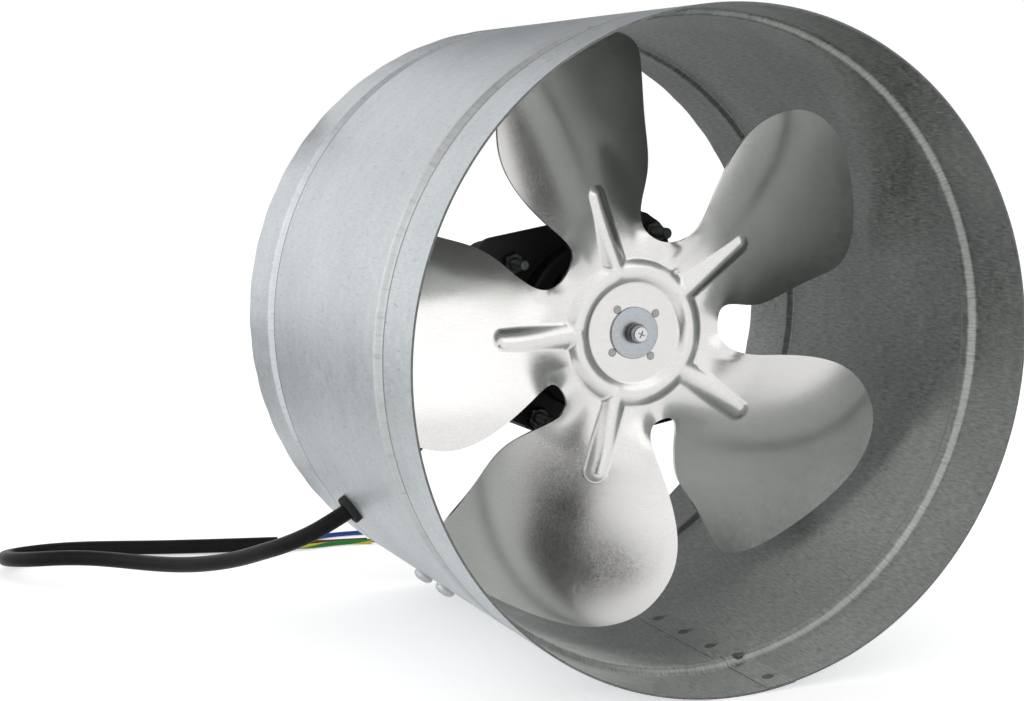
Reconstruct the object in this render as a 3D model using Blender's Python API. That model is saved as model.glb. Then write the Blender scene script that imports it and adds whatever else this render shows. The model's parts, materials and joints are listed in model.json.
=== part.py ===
"""Inline duct fan: a sheet steel duct tube with a motor and a five-blade impeller inside.

Metres, +Z up. The fan axis runs along Y, from the inlet (low Y) to the outlet (high Y).
The origin is on the floor under the middle of the tube. Most pieces are children of an empty
on the fan axis, so their own coordinates are measured from the axis and from mid-length.
"""

import math

import bmesh
import bpy
import numpy as np
from mathutils import Matrix
from mathutils import Vector
from mathutils.geometry import delaunay_2d_cdt

# Tube
TUBE_DIAMETER = 0.250
TUBE_LENGTH = 0.203
TUBE_WALL = 0.0008
TUBE_SIDES = 72
BEAD_FROM_RIM = 0.0334
BEAD_WIDTH = 0.0092
BEAD_DEPTH = 0.0016

# Clearances between neighbouring pieces
SEAT_GAP = 0.0003
RUNNING_GAP = 0.0003
HOLE_CLEARANCE = 0.0003

# Impeller, pressed from one sheet
IMPELLER_STANDOFF = 0.0237
IMPELLER_SHEET = 0.0015
TIP_CLEARANCE = 0.0054
BLADE_ROOT_RADIUS = 0.0520
BLADE_WIDTH = 0.0866
BLADE_COUNT = 5
FIRST_BLADE_ANGLE = math.radians(180)
BLADE_PITCH_SLOPE = 0.44
BLADE_CAMBER_RADIUS = 0.20
BLADE_CAMBER_LEVEL = 0.030
PITCH_START_RADIUS = 0.024
PITCH_FULL_RADIUS = 0.055
NOTCH_RADIUS = 0.0100
NOTCH_CENTRE_RADIUS = 0.0480
HUB_RING_INNER = 0.0200
HUB_RING_OUTER = 0.0290
HUB_RING_HEIGHT = 0.0030
RIB_WIDTH = 0.0112
RIB_TOP_WIDTH = 0.0040
RIB_HEIGHT = 0.0030
RIB_END_RADIUS = 0.0610
RIB_END_LENGTH = 0.0040
HUB_HOLE_COUNT = 4
HUB_HOLE_CIRCLE_RADIUS = 0.0120
HUB_HOLE_RADIUS = 0.0020
HUB_HOLE_ANGLE = math.radians(38)

# Blade outline seen from the inlet: share of the blade width towards the leading side, share from root to tip
BLADE_OUTLINE = (
    (0.289, 0.00),
    (0.364, 0.15),
    (0.427, 0.32),
    (0.453, 0.51),
    (0.421, 0.69),
    (0.346, 0.84),
    (0.196, 0.96),
    (-0.012, 1.00),
    (-0.289, 0.96),
    (-0.468, 0.89),
    (-0.537, 0.81),
    (-0.547, 0.73),
    (-0.456, 0.38),
    (-0.364, 0.06),
)
OUTLINE_STEPS = 38
BLADE_GRID = 0.0105

# Motor
SHAFT_RADIUS = 0.0040
STATOR_SIDE = 0.0780
STATOR_CORNER = 0.0080
STACK_FRONT_Y = 0.0230
STACK_LENGTH = 0.0300
STATOR_BORE_RADIUS = 0.0212
AIR_GAP = 0.0007
POLE_SHOE = 0.0048
YOKE = 0.0055
SLOT_MOUTH = 0.0030
POLE_HALF_WIDTH = 0.0075
COIL_THICKNESS = 0.0037
COIL_OVERHANG = 0.0060
COIL_CLEARANCE = 0.0010
SHIELD_SHEET = 0.0020
SHIELD_RIM = 0.0035
FRONT_CUP_DEPTH = 0.0120
BEARING_RADIUS = 0.0080
BEARING_LENGTH = 0.0090
BEARING_BOSS_WALL = 0.0030
MOTOR_BOLT_FROM_CORNER = 0.0092
MOTOR_BOLT_RADIUS = 0.0024
MOTOR_NUT_ACROSS = 0.0080
MOTOR_NUT_HEIGHT = 0.0040
MOTOR_BOLT_PROUD = 0.0095
MOTOR_CLOCKING = math.radians(10)

# Bracket
BRACKET_SHEET = 0.0020
LEG_OFFSET = 0.0100
WEB_FROM_FOOT_END = 0.0010
FOOT_FRONT_Y = -0.0005
FOOT_LENGTH = 0.0355
FOOT_FACETS = 3
LEG_ANGLES = (math.radians(-45), math.radians(45))
FOOT_SCREW_MARGIN = 0.0055
FOOT_SCREW_RADIUS = 0.0024
FOOT_SCREW_HEAD_RADIUS = 0.0050
FOOT_SCREW_HEAD_HEIGHT = 0.0032
FOOT_NUT_ACROSS = 0.0080
FOOT_NUT_HEIGHT = 0.0022
FOOT_SCREW_PROUD = 0.0002

# Corners of the bracket's plate, across and up from the fan axis as shares of half the stack's side,
# and the radius of each corner
PLATE_CORNERS = (
    (1.02, 1.14, 0.0200),
    (-1.18, 1.14, 0.0060),
    (-1.18, -0.75, 0.0030),
    (-0.94, -0.925, 0.0030),
    (-0.64, -1.25, 0.0040),
    (1.02, -1.25, 0.0060),
)

# Rotor fixings
DRIVE_HUB_FLANGE_RADIUS = 0.0170
DRIVE_HUB_FLANGE = 0.0030
DRIVE_HUB_BOSS_RADIUS = 0.0080
DRIVE_HUB_CLEARANCE = 0.0009
WASHER_RADIUS = 0.0104
WASHER_THICKNESS = 0.0015
SPRING_WASHER_RADIUS = 0.0040
SPRING_WASHER_THICKNESS = 0.0012
CLAMP_SCREW_RADIUS = 0.0020
CLAMP_SCREW_LENGTH = 0.0140
CLAMP_HEAD_RADIUS = 0.0034
CLAMP_HEAD_HEIGHT = 0.0030

# Cable
CORD_RADIUS = 0.0034
CORD_CLEARANCE = 0.0005
CORE_RADIUS = 0.00115
COPPER_RADIUS = 0.0006
COPPER_LENGTH = 0.0060
GROMMET_ANGLE = math.radians(-145)
GROMMET_Y = 0.0310
GROMMET_WALL = 0.0009
GROMMET_LIP = 0.0014
GROMMET_FLANGE = 0.0026
LEAD_BUSH_WALL = 0.0012
LEAD_BUSH_LENGTH = 0.0060
LEAD_ENTRY_MARGIN = 0.0008
POINT_SPACING = 2.0

# Route of the free cable from the grommet to the floor, and along it to the end of its sheath
CORD_ROUTE = (
    (-0.1102, 0.0317, 0.0483),
    (-0.1168, 0.0344, 0.0440),
    (-0.1228, 0.0393, 0.0400),
    (-0.1282, 0.0462, 0.0362),
    (-0.1330, 0.0555, 0.0324),
    (-0.1395, 0.0705, 0.0268),
    (-0.1476, 0.0880, 0.0216),
    (-0.1555, 0.1045, 0.0180),
    (-0.1640, 0.1202, 0.0157),
    (-0.1738, 0.1345, 0.0146),
    (-0.1854, 0.1466, 0.0142),
    (-0.1986, 0.1560, 0.0136),
    (-0.2110, 0.1664, 0.0118),
    (-0.2186, 0.1820, 0.0092),
    (-0.2170, 0.1992, 0.0063),
    (-0.2058, 0.2120, 0.0043),
    (-0.1886, 0.2160, 0.0036),
    (-0.1685, 0.2115, 0.0035),
    (-0.1485, 0.2042, 0.0035),
    (-0.1260, 0.1972, 0.0035),
    (-0.1070, 0.1920, 0.0035),
    (-0.0900, 0.1875, 0.0035),
)

# Where the three cores lie once they leave the sheath
CORE_ROUTES = {
    "core_blue": (
        (-0.0889, 0.1886, 0.00275),
        (-0.0825, 0.1885, 0.0022),
        (-0.0755, 0.1930, 0.0014),
        (-0.0690, 0.1995, 0.0013),
        (-0.0590, 0.2045, 0.0013),
        (-0.0400, 0.2040, 0.0013),
    ),
    "core_brown": (
        (-0.0894, 0.1873, 0.0050),
        (-0.0815, 0.1855, 0.0044),
        (-0.0720, 0.1876, 0.0026),
        (-0.0580, 0.1900, 0.0013),
        (-0.0440, 0.1875, 0.0013),
    ),
    "core_earth": (
        (-0.0898, 0.1861, 0.00275),
        (-0.0820, 0.1845, 0.0020),
        (-0.0730, 0.1850, 0.0014),
        (-0.0580, 0.1865, 0.0013),
        (-0.0430, 0.1830, 0.0013),
    ),
}

# The cable inside the tube hangs this far below a straight line, and swings this far towards the outlet
LEAD_SAG = 0.0040
LEAD_SWING = 0.0060

# Values that follow from the sizes above
TUBE_RADIUS = TUBE_DIAMETER / 2
FACET_ANGLE = 2 * math.pi / TUBE_SIDES
FACET_COSINE = math.cos(FACET_ANGLE / 2)
TUBE_FLAT_RADIUS = TUBE_RADIUS * FACET_COSINE
AXIS_HEIGHT = TUBE_FLAT_RADIUS
TUBE_INNER_RADIUS = TUBE_RADIUS - TUBE_WALL
TUBE_INNER_FLAT = TUBE_INNER_RADIUS * FACET_COSINE
CABLE_BORE_RADIUS = CORD_RADIUS + CORD_CLEARANCE
GROMMET_NECK_RADIUS = CABLE_BORE_RADIUS + GROMMET_WALL
GROMMET_FLANGE_RADIUS = GROMMET_NECK_RADIUS + GROMMET_LIP
LEAD_BUSH_RADIUS = CABLE_BORE_RADIUS + LEAD_BUSH_WALL
LEAD_HOLE_RADIUS = LEAD_BUSH_RADIUS + SEAT_GAP
LEAD_ENTRY_DEPTH = SHIELD_SHEET + LEAD_ENTRY_MARGIN + LEAD_HOLE_RADIUS
REAR_CUP_DEPTH = LEAD_ENTRY_DEPTH + LEAD_HOLE_RADIUS + LEAD_ENTRY_MARGIN + SHIELD_SHEET
SLOT_INNER_RADIUS = STATOR_BORE_RADIUS + POLE_SHOE
SLOT_OUTER_RADIUS = STATOR_SIDE / 2 - YOKE
SHIELD_CUP_RADIUS = STATOR_SIDE / 2 - SHIELD_RIM
MOTOR_BOLT_CIRCLE_RADIUS = STATOR_SIDE / math.sqrt(2) - MOTOR_BOLT_FROM_CORNER
STACK_REAR_Y = STACK_FRONT_Y + STACK_LENGTH
SHIELD_FRONT_Y = STACK_FRONT_Y - SEAT_GAP - SHIELD_SHEET
PLATE_REAR_Y = SHIELD_FRONT_Y - SEAT_GAP
PLATE_FRONT_Y = PLATE_REAR_Y - BRACKET_SHEET
MOTOR_NUT_REAR_Y = PLATE_FRONT_Y - SEAT_GAP
REAR_SHIELD_BACK_Y = STACK_REAR_Y + SEAT_GAP + SHIELD_SHEET
BEARING_SEAT_RADIUS = BEARING_RADIUS + SEAT_GAP
BOSS_RADIUS = BEARING_SEAT_RADIUS + BEARING_BOSS_WALL
FRONT_BEARING_Y = STACK_FRONT_Y - SEAT_GAP - FRONT_CUP_DEPTH - BEARING_LENGTH / 2
REAR_BEARING_Y = STACK_REAR_Y + SEAT_GAP + REAR_CUP_DEPTH - BEARING_LENGTH / 2
SHAFT_HOLE_RADIUS = SHAFT_RADIUS + RUNNING_GAP
BLADE_TIP_RADIUS = TUBE_INNER_FLAT - TIP_CLEARANCE
IMPELLER_FACE_Y = FRONT_BEARING_Y - IMPELLER_STANDOFF
DRIVE_HUB_FRONT_Y = IMPELLER_FACE_Y + IMPELLER_SHEET + SEAT_GAP
DRIVE_HUB_BACK_Y = FRONT_BEARING_Y - DRIVE_HUB_CLEARANCE
WASHER_BACK_Y = IMPELLER_FACE_Y - SEAT_GAP
SPRING_BACK_Y = WASHER_BACK_Y - WASHER_THICKNESS - SEAT_GAP
CLAMP_SEAT_Y = SPRING_BACK_Y - SPRING_WASHER_THICKNESS - SEAT_GAP
SHAFT_FRONT_Y = IMPELLER_FACE_Y + SEAT_GAP
FOOT_OUTER_RADIUS = TUBE_INNER_RADIUS - SEAT_GAP / FACET_COSINE
FOOT_INNER_RADIUS = FOOT_OUTER_RADIUS - BRACKET_SHEET / FACET_COSINE
FOOT_INNER_FLAT = FOOT_INNER_RADIUS * FACET_COSINE
FOOT_REAR_Y = FOOT_FRONT_Y + FOOT_LENGTH
FOOT_SCREW_Y = (FOOT_FRONT_Y + FOOT_SCREW_MARGIN, FOOT_REAR_Y - FOOT_SCREW_MARGIN)
FOOT_HOLE_RADIUS = FOOT_SCREW_RADIUS + HOLE_CLEARANCE
MOTOR_HOLE_RADIUS = MOTOR_BOLT_RADIUS + HOLE_CLEARANCE


# Helpers


def clear_scene():
    for old in list(bpy.data.objects):
        bpy.data.objects.remove(old)


def finish(name, colour, roughness, metallic):
    """A Principled material."""
    material = bpy.data.materials.new(name)
    material.use_nodes = True
    shader = material.node_tree.nodes["Principled BSDF"]
    shader.inputs["Base Color"].default_value = (*colour, 1.0)
    shader.inputs["Roughness"].default_value = roughness
    shader.inputs["Metallic"].default_value = metallic
    material.diffuse_color = (*colour, 1.0)
    return material


def piece(name, shape, material, parent=None, matrix=None, sharp_degrees=35):
    """Turn a bmesh into a named object under its parent."""
    bmesh.ops.remove_doubles(shape, verts=shape.verts, dist=1e-6)
    bmesh.ops.recalc_face_normals(shape, faces=shape.faces)
    mesh = bpy.data.meshes.new(name)
    shape.to_mesh(mesh)
    shape.free()
    mesh.materials.append(material)
    mesh.shade_smooth()
    mesh.set_sharp_from_angle(angle=math.radians(sharp_degrees))
    made = bpy.data.objects.new(name, mesh)
    bpy.context.scene.collection.objects.link(made)
    made.parent = parent
    if matrix is not None:
        made.matrix_local = matrix
    return made


def helper(name, shape, parent=None, matrix=None):
    """A piece that only cuts or joins another, and isn't drawn."""
    made = piece(name, shape, bpy.data.materials["helper"], parent, matrix)
    made.hide_render = True
    made.display_type = "WIRE"
    return made


def combine(base, other, operation):
    """Put a Boolean modifier on the base object."""
    modifier = base.modifiers.new(other.name, "BOOLEAN")
    modifier.operation = operation
    modifier.solver = "EXACT"
    modifier.object = other


def circle(radius, count, centre=(0.0, 0.0), turn=0.0):
    """Points of a circle in the XZ plane."""
    points = []
    for index in range(count):
        angle = turn + 2 * math.pi * index / count
        points.append((centre[0] + radius * math.cos(angle), centre[1] + radius * math.sin(angle)))
    return points


def rounded_outline(corners, steps=5):
    """Outline in the XZ plane through corners (x, z, radius), each rounded to its radius."""
    points = []
    for number, (x, z, radius) in enumerate(corners):
        corner = Vector((x, z))
        before = (Vector(corners[number - 1][:2]) - corner).normalized()
        after = (Vector(corners[(number + 1) % len(corners)][:2]) - corner).normalized()
        half_angle = before.angle(after) / 2
        centre = corner + (before + after).normalized() * radius / math.sin(half_angle)
        first = corner + before * radius / math.tan(half_angle) - centre
        last = corner + after * radius / math.tan(half_angle) - centre
        turn = first.angle_signed(last)
        for step in range(steps + 1):
            points.append(tuple(centre + Matrix.Rotation(-turn * step / steps, 2) @ first))
    return points


def rounded_square(side, corner):
    """Outline of a square with rounded corners, in the XZ plane."""
    half = side / 2
    signs = ((1, 1), (-1, 1), (-1, -1), (1, -1))
    return rounded_outline([(x * half, z * half, corner) for x, z in signs])


def flat_sheet(outline, holes=(), inner_points=()):
    """Triangles of an outline with holes, as a bmesh in the plane Y = 0."""
    points = [Vector(point) for point in outline]
    faces = [list(range(len(points)))]
    for hole in holes:
        first = len(points)
        points.extend(Vector(point) for point in hole)
        faces.append(list(range(first, len(points))))
    points.extend(Vector(point) for point in inner_points)
    made = delaunay_2d_cdt(points, [], faces, 2, 1e-7)
    shape = bmesh.new()
    corners = [shape.verts.new((point.x, 0.0, point.y)) for point in made[0]]
    for face in made[2]:
        shape.faces.new([corners[index] for index in face])
    return shape


def thicken(shape, front_y, thickness):
    """Close a sheet by extruding it along Y."""
    bmesh.ops.translate(shape, verts=shape.verts, vec=(0, front_y, 0))
    made = bmesh.ops.extrude_face_region(shape, geom=shape.faces[:])
    moved = [item for item in made["geom"] if isinstance(item, bmesh.types.BMVert)]
    bmesh.ops.translate(shape, verts=moved, vec=(0, thickness, 0))
    return shape


def prism(outline, front_y, length, holes=()):
    """A solid of constant section along Y."""
    return thicken(flat_sheet(outline, holes), front_y, length)


def turned(profile, sides, turn=0.0, closed=True):
    """A solid turned about Y from (radius, y) points: a closed loop, or a line from axis to axis."""
    shape = bmesh.new()
    rings = []
    for radius, y in profile:
        if radius == 0:
            rings.append([shape.verts.new((0, y, 0))])
            continue
        ring = []
        for x, z in circle(radius, sides, turn=turn):
            ring.append(shape.verts.new((x, y, z)))
        rings.append(ring)
    pairs = list(zip(rings, rings[1:]))
    if closed:
        pairs.append((rings[-1], rings[0]))
    for first, second in pairs:
        for index in range(sides):
            after = (index + 1) % sides
            if len(first) == 1:
                shape.faces.new((first[0], second[index], second[after]))
            elif len(second) == 1:
                shape.faces.new((first[index], second[0], first[after]))
            else:
                shape.faces.new((first[index], second[index], second[after], first[after]))
    return shape


def ring(inner, outer, front_y, length, sides):
    """A plain turned ring."""
    back_y = front_y + length
    profile = ((outer, front_y), (outer, back_y), (inner, back_y), (inner, front_y))
    return turned(profile, sides)


def hexagon(across_flats):
    return circle(across_flats / math.sqrt(3), 6)


def outward_matrix(angle, radius, y):
    """Matrix that takes local +Y to the radial direction at this angle about the fan axis."""
    outward = Vector((math.cos(angle), 0, math.sin(angle)))
    along = Vector((0, 1, 0))
    side = outward.cross(along)
    turn = Matrix((side, outward, along)).transposed().to_4x4()
    return Matrix.Translation(outward * radius + Vector((0, y, 0))) @ turn


def about_axis(angle):
    """Turn about the fan axis, counter-clockwise as seen from the inlet."""
    return Matrix.Rotation(-angle, 4, "Y")


def spline_segments(points, closed):
    """Second derivatives of a cubic spline through the points, with its knots."""
    points = np.array(points, float)
    if closed:
        points = np.vstack([points, points[:1]])
    steps = np.sqrt(np.linalg.norm(np.diff(points, axis=0), axis=1))
    count = len(points)
    system = np.zeros((count, count))
    right = np.zeros_like(points)
    slopes = np.diff(points, axis=0) / steps[:, None]
    for row in range(1, count - 1):
        system[row, row - 1 : row + 2] = steps[row - 1], 2 * (steps[row - 1] + steps[row]), steps[row]
        right[row] = 6 * (slopes[row] - slopes[row - 1])
    if closed:
        system[0, [0, 1]] = 2 * (steps[0] + steps[-1]), steps[0]
        system[0, count - 2] = steps[-1]
        right[0] = 6 * (slopes[0] - slopes[-1])
        system[-1, [0, -1]] = 1, -1
    else:
        system[0, 0] = 1
        system[-1, -1] = 1
    return points, steps, np.linalg.solve(system, right)


def smooth_curve(points, per_segment, closed=False):
    """Points along a cubic spline through the given points."""
    points, steps, bends = spline_segments(points, closed)
    made = []
    for index, step in enumerate(steps):
        for part in range(per_segment):
            near = part / per_segment
            far = 1 - near
            made.append(
                far * points[index]
                + near * points[index + 1]
                + step * step / 6 * ((far**3 - far) * bends[index] + (near**3 - near) * bends[index + 1])
            )
    if not closed:
        made.append(points[-1])
    return np.array(made)


def even_points(route, spacing, closed=False):
    """Evenly spaced points along a smooth curve through the route."""
    fine = smooth_curve(route, 24, closed)
    if closed:
        fine = np.vstack([fine, fine[:1]])
    travelled = np.concatenate([[0], np.cumsum(np.linalg.norm(np.diff(fine, axis=0), axis=1))])
    count = max(2, round(travelled[-1] / spacing) + 1)
    wanted = np.linspace(0, travelled[-1], count)
    return np.stack([np.interp(wanted, travelled, fine[:, axis]) for axis in range(3)], axis=1)


def tube_along(name, points, radius, material, parent=None):
    """A round tube with filled ends along the points."""
    curve = bpy.data.curves.new(name, "CURVE")
    curve.dimensions = "3D"
    curve.bevel_depth = radius
    curve.bevel_resolution = 2
    curve.use_fill_caps = True
    spline = curve.splines.new("POLY")
    spline.points.add(len(points) - 1)
    for target, point in zip(spline.points, points):
        target.co = (*point, 1.0)
    curve.materials.append(material)
    made = bpy.data.objects.new(name, curve)
    bpy.context.scene.collection.objects.link(made)
    made.parent = parent
    return made


# Finishes

clear_scene()
finish("helper", (0.5, 0.5, 0.5), 0.5, 0.0)
galvanised = finish("galvanised_sheet", (0.56, 0.59, 0.60), 0.42, 0.9)
aluminium = finish("pressed_aluminium", (0.78, 0.78, 0.76), 0.32, 1.0)
zinc = finish("zinc_plate", (0.62, 0.63, 0.64), 0.35, 1.0)
black_paint = finish("black_paint", (0.02, 0.02, 0.022), 0.45, 0.0)
lamination = finish("lamination_steel", (0.10, 0.10, 0.11), 0.5, 0.8)
enamel = finish("copper_enamel", (0.45, 0.18, 0.06), 0.35, 0.3)
bronze = finish("sintered_bronze", (0.50, 0.34, 0.16), 0.45, 1.0)
ground_steel = finish("ground_steel", (0.55, 0.55, 0.56), 0.25, 1.0)
rubber = finish("black_rubber", (0.015, 0.015, 0.016), 0.6, 0.0)
sheath = finish("cable_sheath", (0.012, 0.012, 0.013), 0.38, 0.0)
copper = finish("bare_copper", (0.72, 0.36, 0.18), 0.3, 1.0)
CORE_FINISHES = {
    "core_blue": finish("blue_insulation", (0.02, 0.08, 0.42), 0.4, 0.0),
    "core_brown": finish("brown_insulation", (0.14, 0.06, 0.025), 0.4, 0.0),
    "core_earth": finish("green_insulation", (0.05, 0.30, 0.08), 0.4, 0.0),
}

# Frames on the fan axis

fan_axis = bpy.data.objects.new("fan_axis", None)
fan_axis.location = (0, 0, AXIS_HEIGHT)
rotor_axis = bpy.data.objects.new("rotor_axis", None)
rotor_axis.location = (0, 0, AXIS_HEIGHT)
motor_frame = bpy.data.objects.new("motor_frame", None)
motor_frame.parent = fan_axis
motor_frame.matrix_local = about_axis(MOTOR_CLOCKING)
for frame in (fan_axis, rotor_axis, motor_frame):
    bpy.context.scene.collection.objects.link(frame)
bpy.context.view_layer.update()


# Tube


def wall_line(radius, depth):
    """(radius, y) points along one face of the wall, inlet to outlet, with the beads rolled in."""
    half = TUBE_LENGTH / 2
    line = [(radius, -half)]
    for centre in (-half + BEAD_FROM_RIM, half - BEAD_FROM_RIM):
        line.append((radius, centre - BEAD_WIDTH / 2))
        line.append((radius - depth, centre - BEAD_WIDTH / 6))
        line.append((radius - depth, centre + BEAD_WIDTH / 6))
        line.append((radius, centre + BEAD_WIDTH / 2))
    line.append((radius, half))
    return line


def housing_shell():
    outside = wall_line(TUBE_RADIUS, BEAD_DEPTH)
    inside = wall_line(TUBE_INNER_RADIUS, BEAD_DEPTH)
    shape = turned(outside + inside[::-1], TUBE_SIDES, turn=FACET_ANGLE / 2)
    shell = piece("housing_shell", shape, galvanised, fan_axis)
    hole_length = 8 * TUBE_WALL
    for number, (angle, y) in enumerate(foot_screw_places(), 1):
        shape = turned_pin(FOOT_HOLE_RADIUS, hole_length, 12)
        place = outward_matrix(angle, TUBE_INNER_FLAT - hole_length / 2, y)
        combine(shell, helper(f"shell_hole_{number}", shape, fan_axis, place), "DIFFERENCE")
    shape = turned_pin(GROMMET_NECK_RADIUS + HOLE_CLEARANCE, hole_length, 20)
    place = outward_matrix(GROMMET_ANGLE, TUBE_INNER_FLAT - hole_length / 2, GROMMET_Y)
    combine(shell, helper("shell_cable_hole", shape, fan_axis, place), "DIFFERENCE")


def turned_pin(radius, length, sides):
    """A plain cylinder from Y = 0."""
    return turned(((0, 0), (radius, 0), (radius, length), (0, length)), sides, closed=False)


def foot_screw_places():
    """(angle about the fan axis, y) of each screw through the shell."""
    places = []
    for leg_angle in LEG_ANGLES:
        for y in FOOT_SCREW_Y:
            places.append((leg_screw_angle(leg_angle), y))
    return places


def leg_screw_angle(leg_angle):
    """Angle of a foot's screws about the fan axis: the motor's downward side plus the leg's own angle."""
    return -math.pi / 2 + MOTOR_CLOCKING + leg_angle


# Bracket


def leg_foot(number, turn):
    """The curved foot of a leg, which follows the facets of the shell."""
    outer = []
    inner = []
    for step in range(FOOT_FACETS + 1):
        angle = -math.pi / 2 + (step - FOOT_FACETS / 2) * FACET_ANGLE
        outer.append((FOOT_OUTER_RADIUS * math.cos(angle), FOOT_OUTER_RADIUS * math.sin(angle)))
        inner.append((FOOT_INNER_RADIUS * math.cos(angle), FOOT_INNER_RADIUS * math.sin(angle)))
    shape = prism(outer + inner[::-1], FOOT_FRONT_Y, FOOT_LENGTH)
    return helper(f"bracket_foot_{number}", shape, motor_frame, turn)


def leg_web(number, side, turn):
    """The flat web of a leg, edge on to the air stream, on one side of the leg's screws."""
    half = BRACKET_SHEET / 2
    top = -(STATOR_SIDE / math.sqrt(2) - LEG_OFFSET + SEAT_GAP + half)
    bottom = -(FOOT_INNER_FLAT + half) * math.cos(FACET_ANGLE)
    left = side * LEG_OFFSET - half
    right = side * LEG_OFFSET + half
    outline = ((left, bottom), (right, bottom), (right, top), (left, top))
    shape = prism(outline, PLATE_FRONT_Y, FOOT_REAR_Y - WEB_FROM_FOOT_END - PLATE_FRONT_Y)
    return helper(f"bracket_web_{number}", shape, motor_frame, turn)


def motor_bracket():
    half = STATOR_SIDE / 2
    outline = rounded_outline([(across * half, up * half, radius) for across, up, radius in PLATE_CORNERS])
    cup_hole = circle(SHIELD_CUP_RADIUS + SEAT_GAP, 40)
    shape = prism(outline, PLATE_FRONT_Y, BRACKET_SHEET, [cup_hole] + bolt_holes())
    bracket = piece("motor_bracket", shape, black_paint, motor_frame)
    for number, leg_angle in enumerate(LEG_ANGLES, 1):
        towards_middle = -1 if leg_angle > 0 else 1
        turn = about_axis(leg_angle)
        combine(bracket, leg_web(number, towards_middle, turn), "UNION")
        combine(bracket, leg_foot(number, turn), "UNION")
    hole_length = 4 * BRACKET_SHEET
    for number, (angle, y) in enumerate(foot_screw_places(), 1):
        shape = turned_pin(FOOT_HOLE_RADIUS, hole_length, 12)
        place = about_axis(-MOTOR_CLOCKING) @ outward_matrix(angle, FOOT_INNER_FLAT - hole_length / 3, y)
        combine(bracket, helper(f"foot_hole_{number}", shape, motor_frame, place), "DIFFERENCE")


def foot_fasteners():
    under_head = TUBE_FLAT_RADIUS + SEAT_GAP
    nut_seat = FOOT_INNER_FLAT - SEAT_GAP
    tip = nut_seat - FOOT_NUT_HEIGHT - FOOT_SCREW_PROUD
    for number, (angle, y) in enumerate(foot_screw_places(), 1):
        profile = (
            (0, tip),
            (FOOT_SCREW_RADIUS, tip),
            (FOOT_SCREW_RADIUS, under_head),
            (FOOT_SCREW_HEAD_RADIUS, under_head),
            (FOOT_SCREW_HEAD_RADIUS * 0.94, under_head + FOOT_SCREW_HEAD_HEIGHT * 0.6),
            (FOOT_SCREW_HEAD_RADIUS * 0.6, under_head + FOOT_SCREW_HEAD_HEIGHT * 0.93),
            (0, under_head + FOOT_SCREW_HEAD_HEIGHT),
        )
        place = outward_matrix(angle, 0, y)
        piece(f"bracket_screw_{number}", turned(profile, 12, closed=False), zinc, fan_axis, place)
        hole = circle(FOOT_HOLE_RADIUS, 12)
        shape = prism(hexagon(FOOT_NUT_ACROSS), nut_seat - FOOT_NUT_HEIGHT, FOOT_NUT_HEIGHT, [hole])
        piece(f"bracket_nut_{number}", shape, zinc, fan_axis, place)


# Motor


def motor_bolt_centres():
    centres = []
    for quarter in range(4):
        angle = math.pi / 4 + quarter * math.pi / 2
        centres.append(
            (MOTOR_BOLT_CIRCLE_RADIUS * math.cos(angle), MOTOR_BOLT_CIRCLE_RADIUS * math.sin(angle))
        )
    return centres


def bolt_holes():
    return [circle(MOTOR_HOLE_RADIUS, 12, centre) for centre in motor_bolt_centres()]


def stator_core():
    """Square stack with four poles: the bore and the slots are one cut-out."""
    cut = []
    mouth = math.asin(SLOT_MOUTH / 2 / STATOR_BORE_RADIUS)
    mouth_in_slot = math.asin(SLOT_MOUTH / 2 / SLOT_INNER_RADIUS)
    inner = math.asin(POLE_HALF_WIDTH / SLOT_INNER_RADIUS)
    outer = math.asin(POLE_HALF_WIDTH / SLOT_OUTER_RADIUS)
    for quarter in range(4):
        start = quarter * math.pi / 2
        slot = start + math.pi / 4
        end = start + math.pi / 2
        arcs = (
            (STATOR_BORE_RADIUS, start, slot - mouth, 5),
            (SLOT_INNER_RADIUS, slot - mouth_in_slot, start + inner, 3),
            (SLOT_OUTER_RADIUS, start + outer, end - outer, 7),
            (SLOT_INNER_RADIUS, end - inner, slot + mouth_in_slot, 3),
            (STATOR_BORE_RADIUS, slot + mouth, end, 5),
        )
        for radius, first, last, steps in arcs:
            whole = last != end
            for step in range(steps + whole):
                angle = first + (last - first) * step / steps
                cut.append((radius * math.cos(angle), radius * math.sin(angle)))
    outline = rounded_square(STATOR_SIDE, STATOR_CORNER)
    shape = prism(outline, STACK_FRONT_Y, STACK_LENGTH, [cut] + bolt_holes())
    piece("stator_core", shape, lamination, motor_frame)


def stator_coils():
    """A closed winding round each pole, between the pole shoe and the yoke."""
    inner_side = POLE_HALF_WIDTH + SEAT_GAP
    outer_side = inner_side + COIL_THICKNESS
    inner_end = STACK_LENGTH / 2 + SEAT_GAP
    outer_end = STACK_LENGTH / 2 + COIL_OVERHANG
    first = SLOT_INNER_RADIUS + COIL_CLEARANCE
    last = math.sqrt((SLOT_OUTER_RADIUS - COIL_CLEARANCE) ** 2 - outer_side**2)
    middle_y = STACK_FRONT_Y + STACK_LENGTH / 2
    for number in range(1, 5):
        angle = (number - 1) * math.pi / 2
        outline = rectangle(outer_side, outer_end)
        shape = prism(outline, first, last - first, [rectangle(inner_side, inner_end)])
        piece(f"stator_coil_{number}", shape, enamel, motor_frame, outward_matrix(angle, 0, middle_y))


def rectangle(half_x, half_z):
    return [(-half_x, -half_z), (half_x, -half_z), (half_x, half_z), (-half_x, half_z)]


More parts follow.
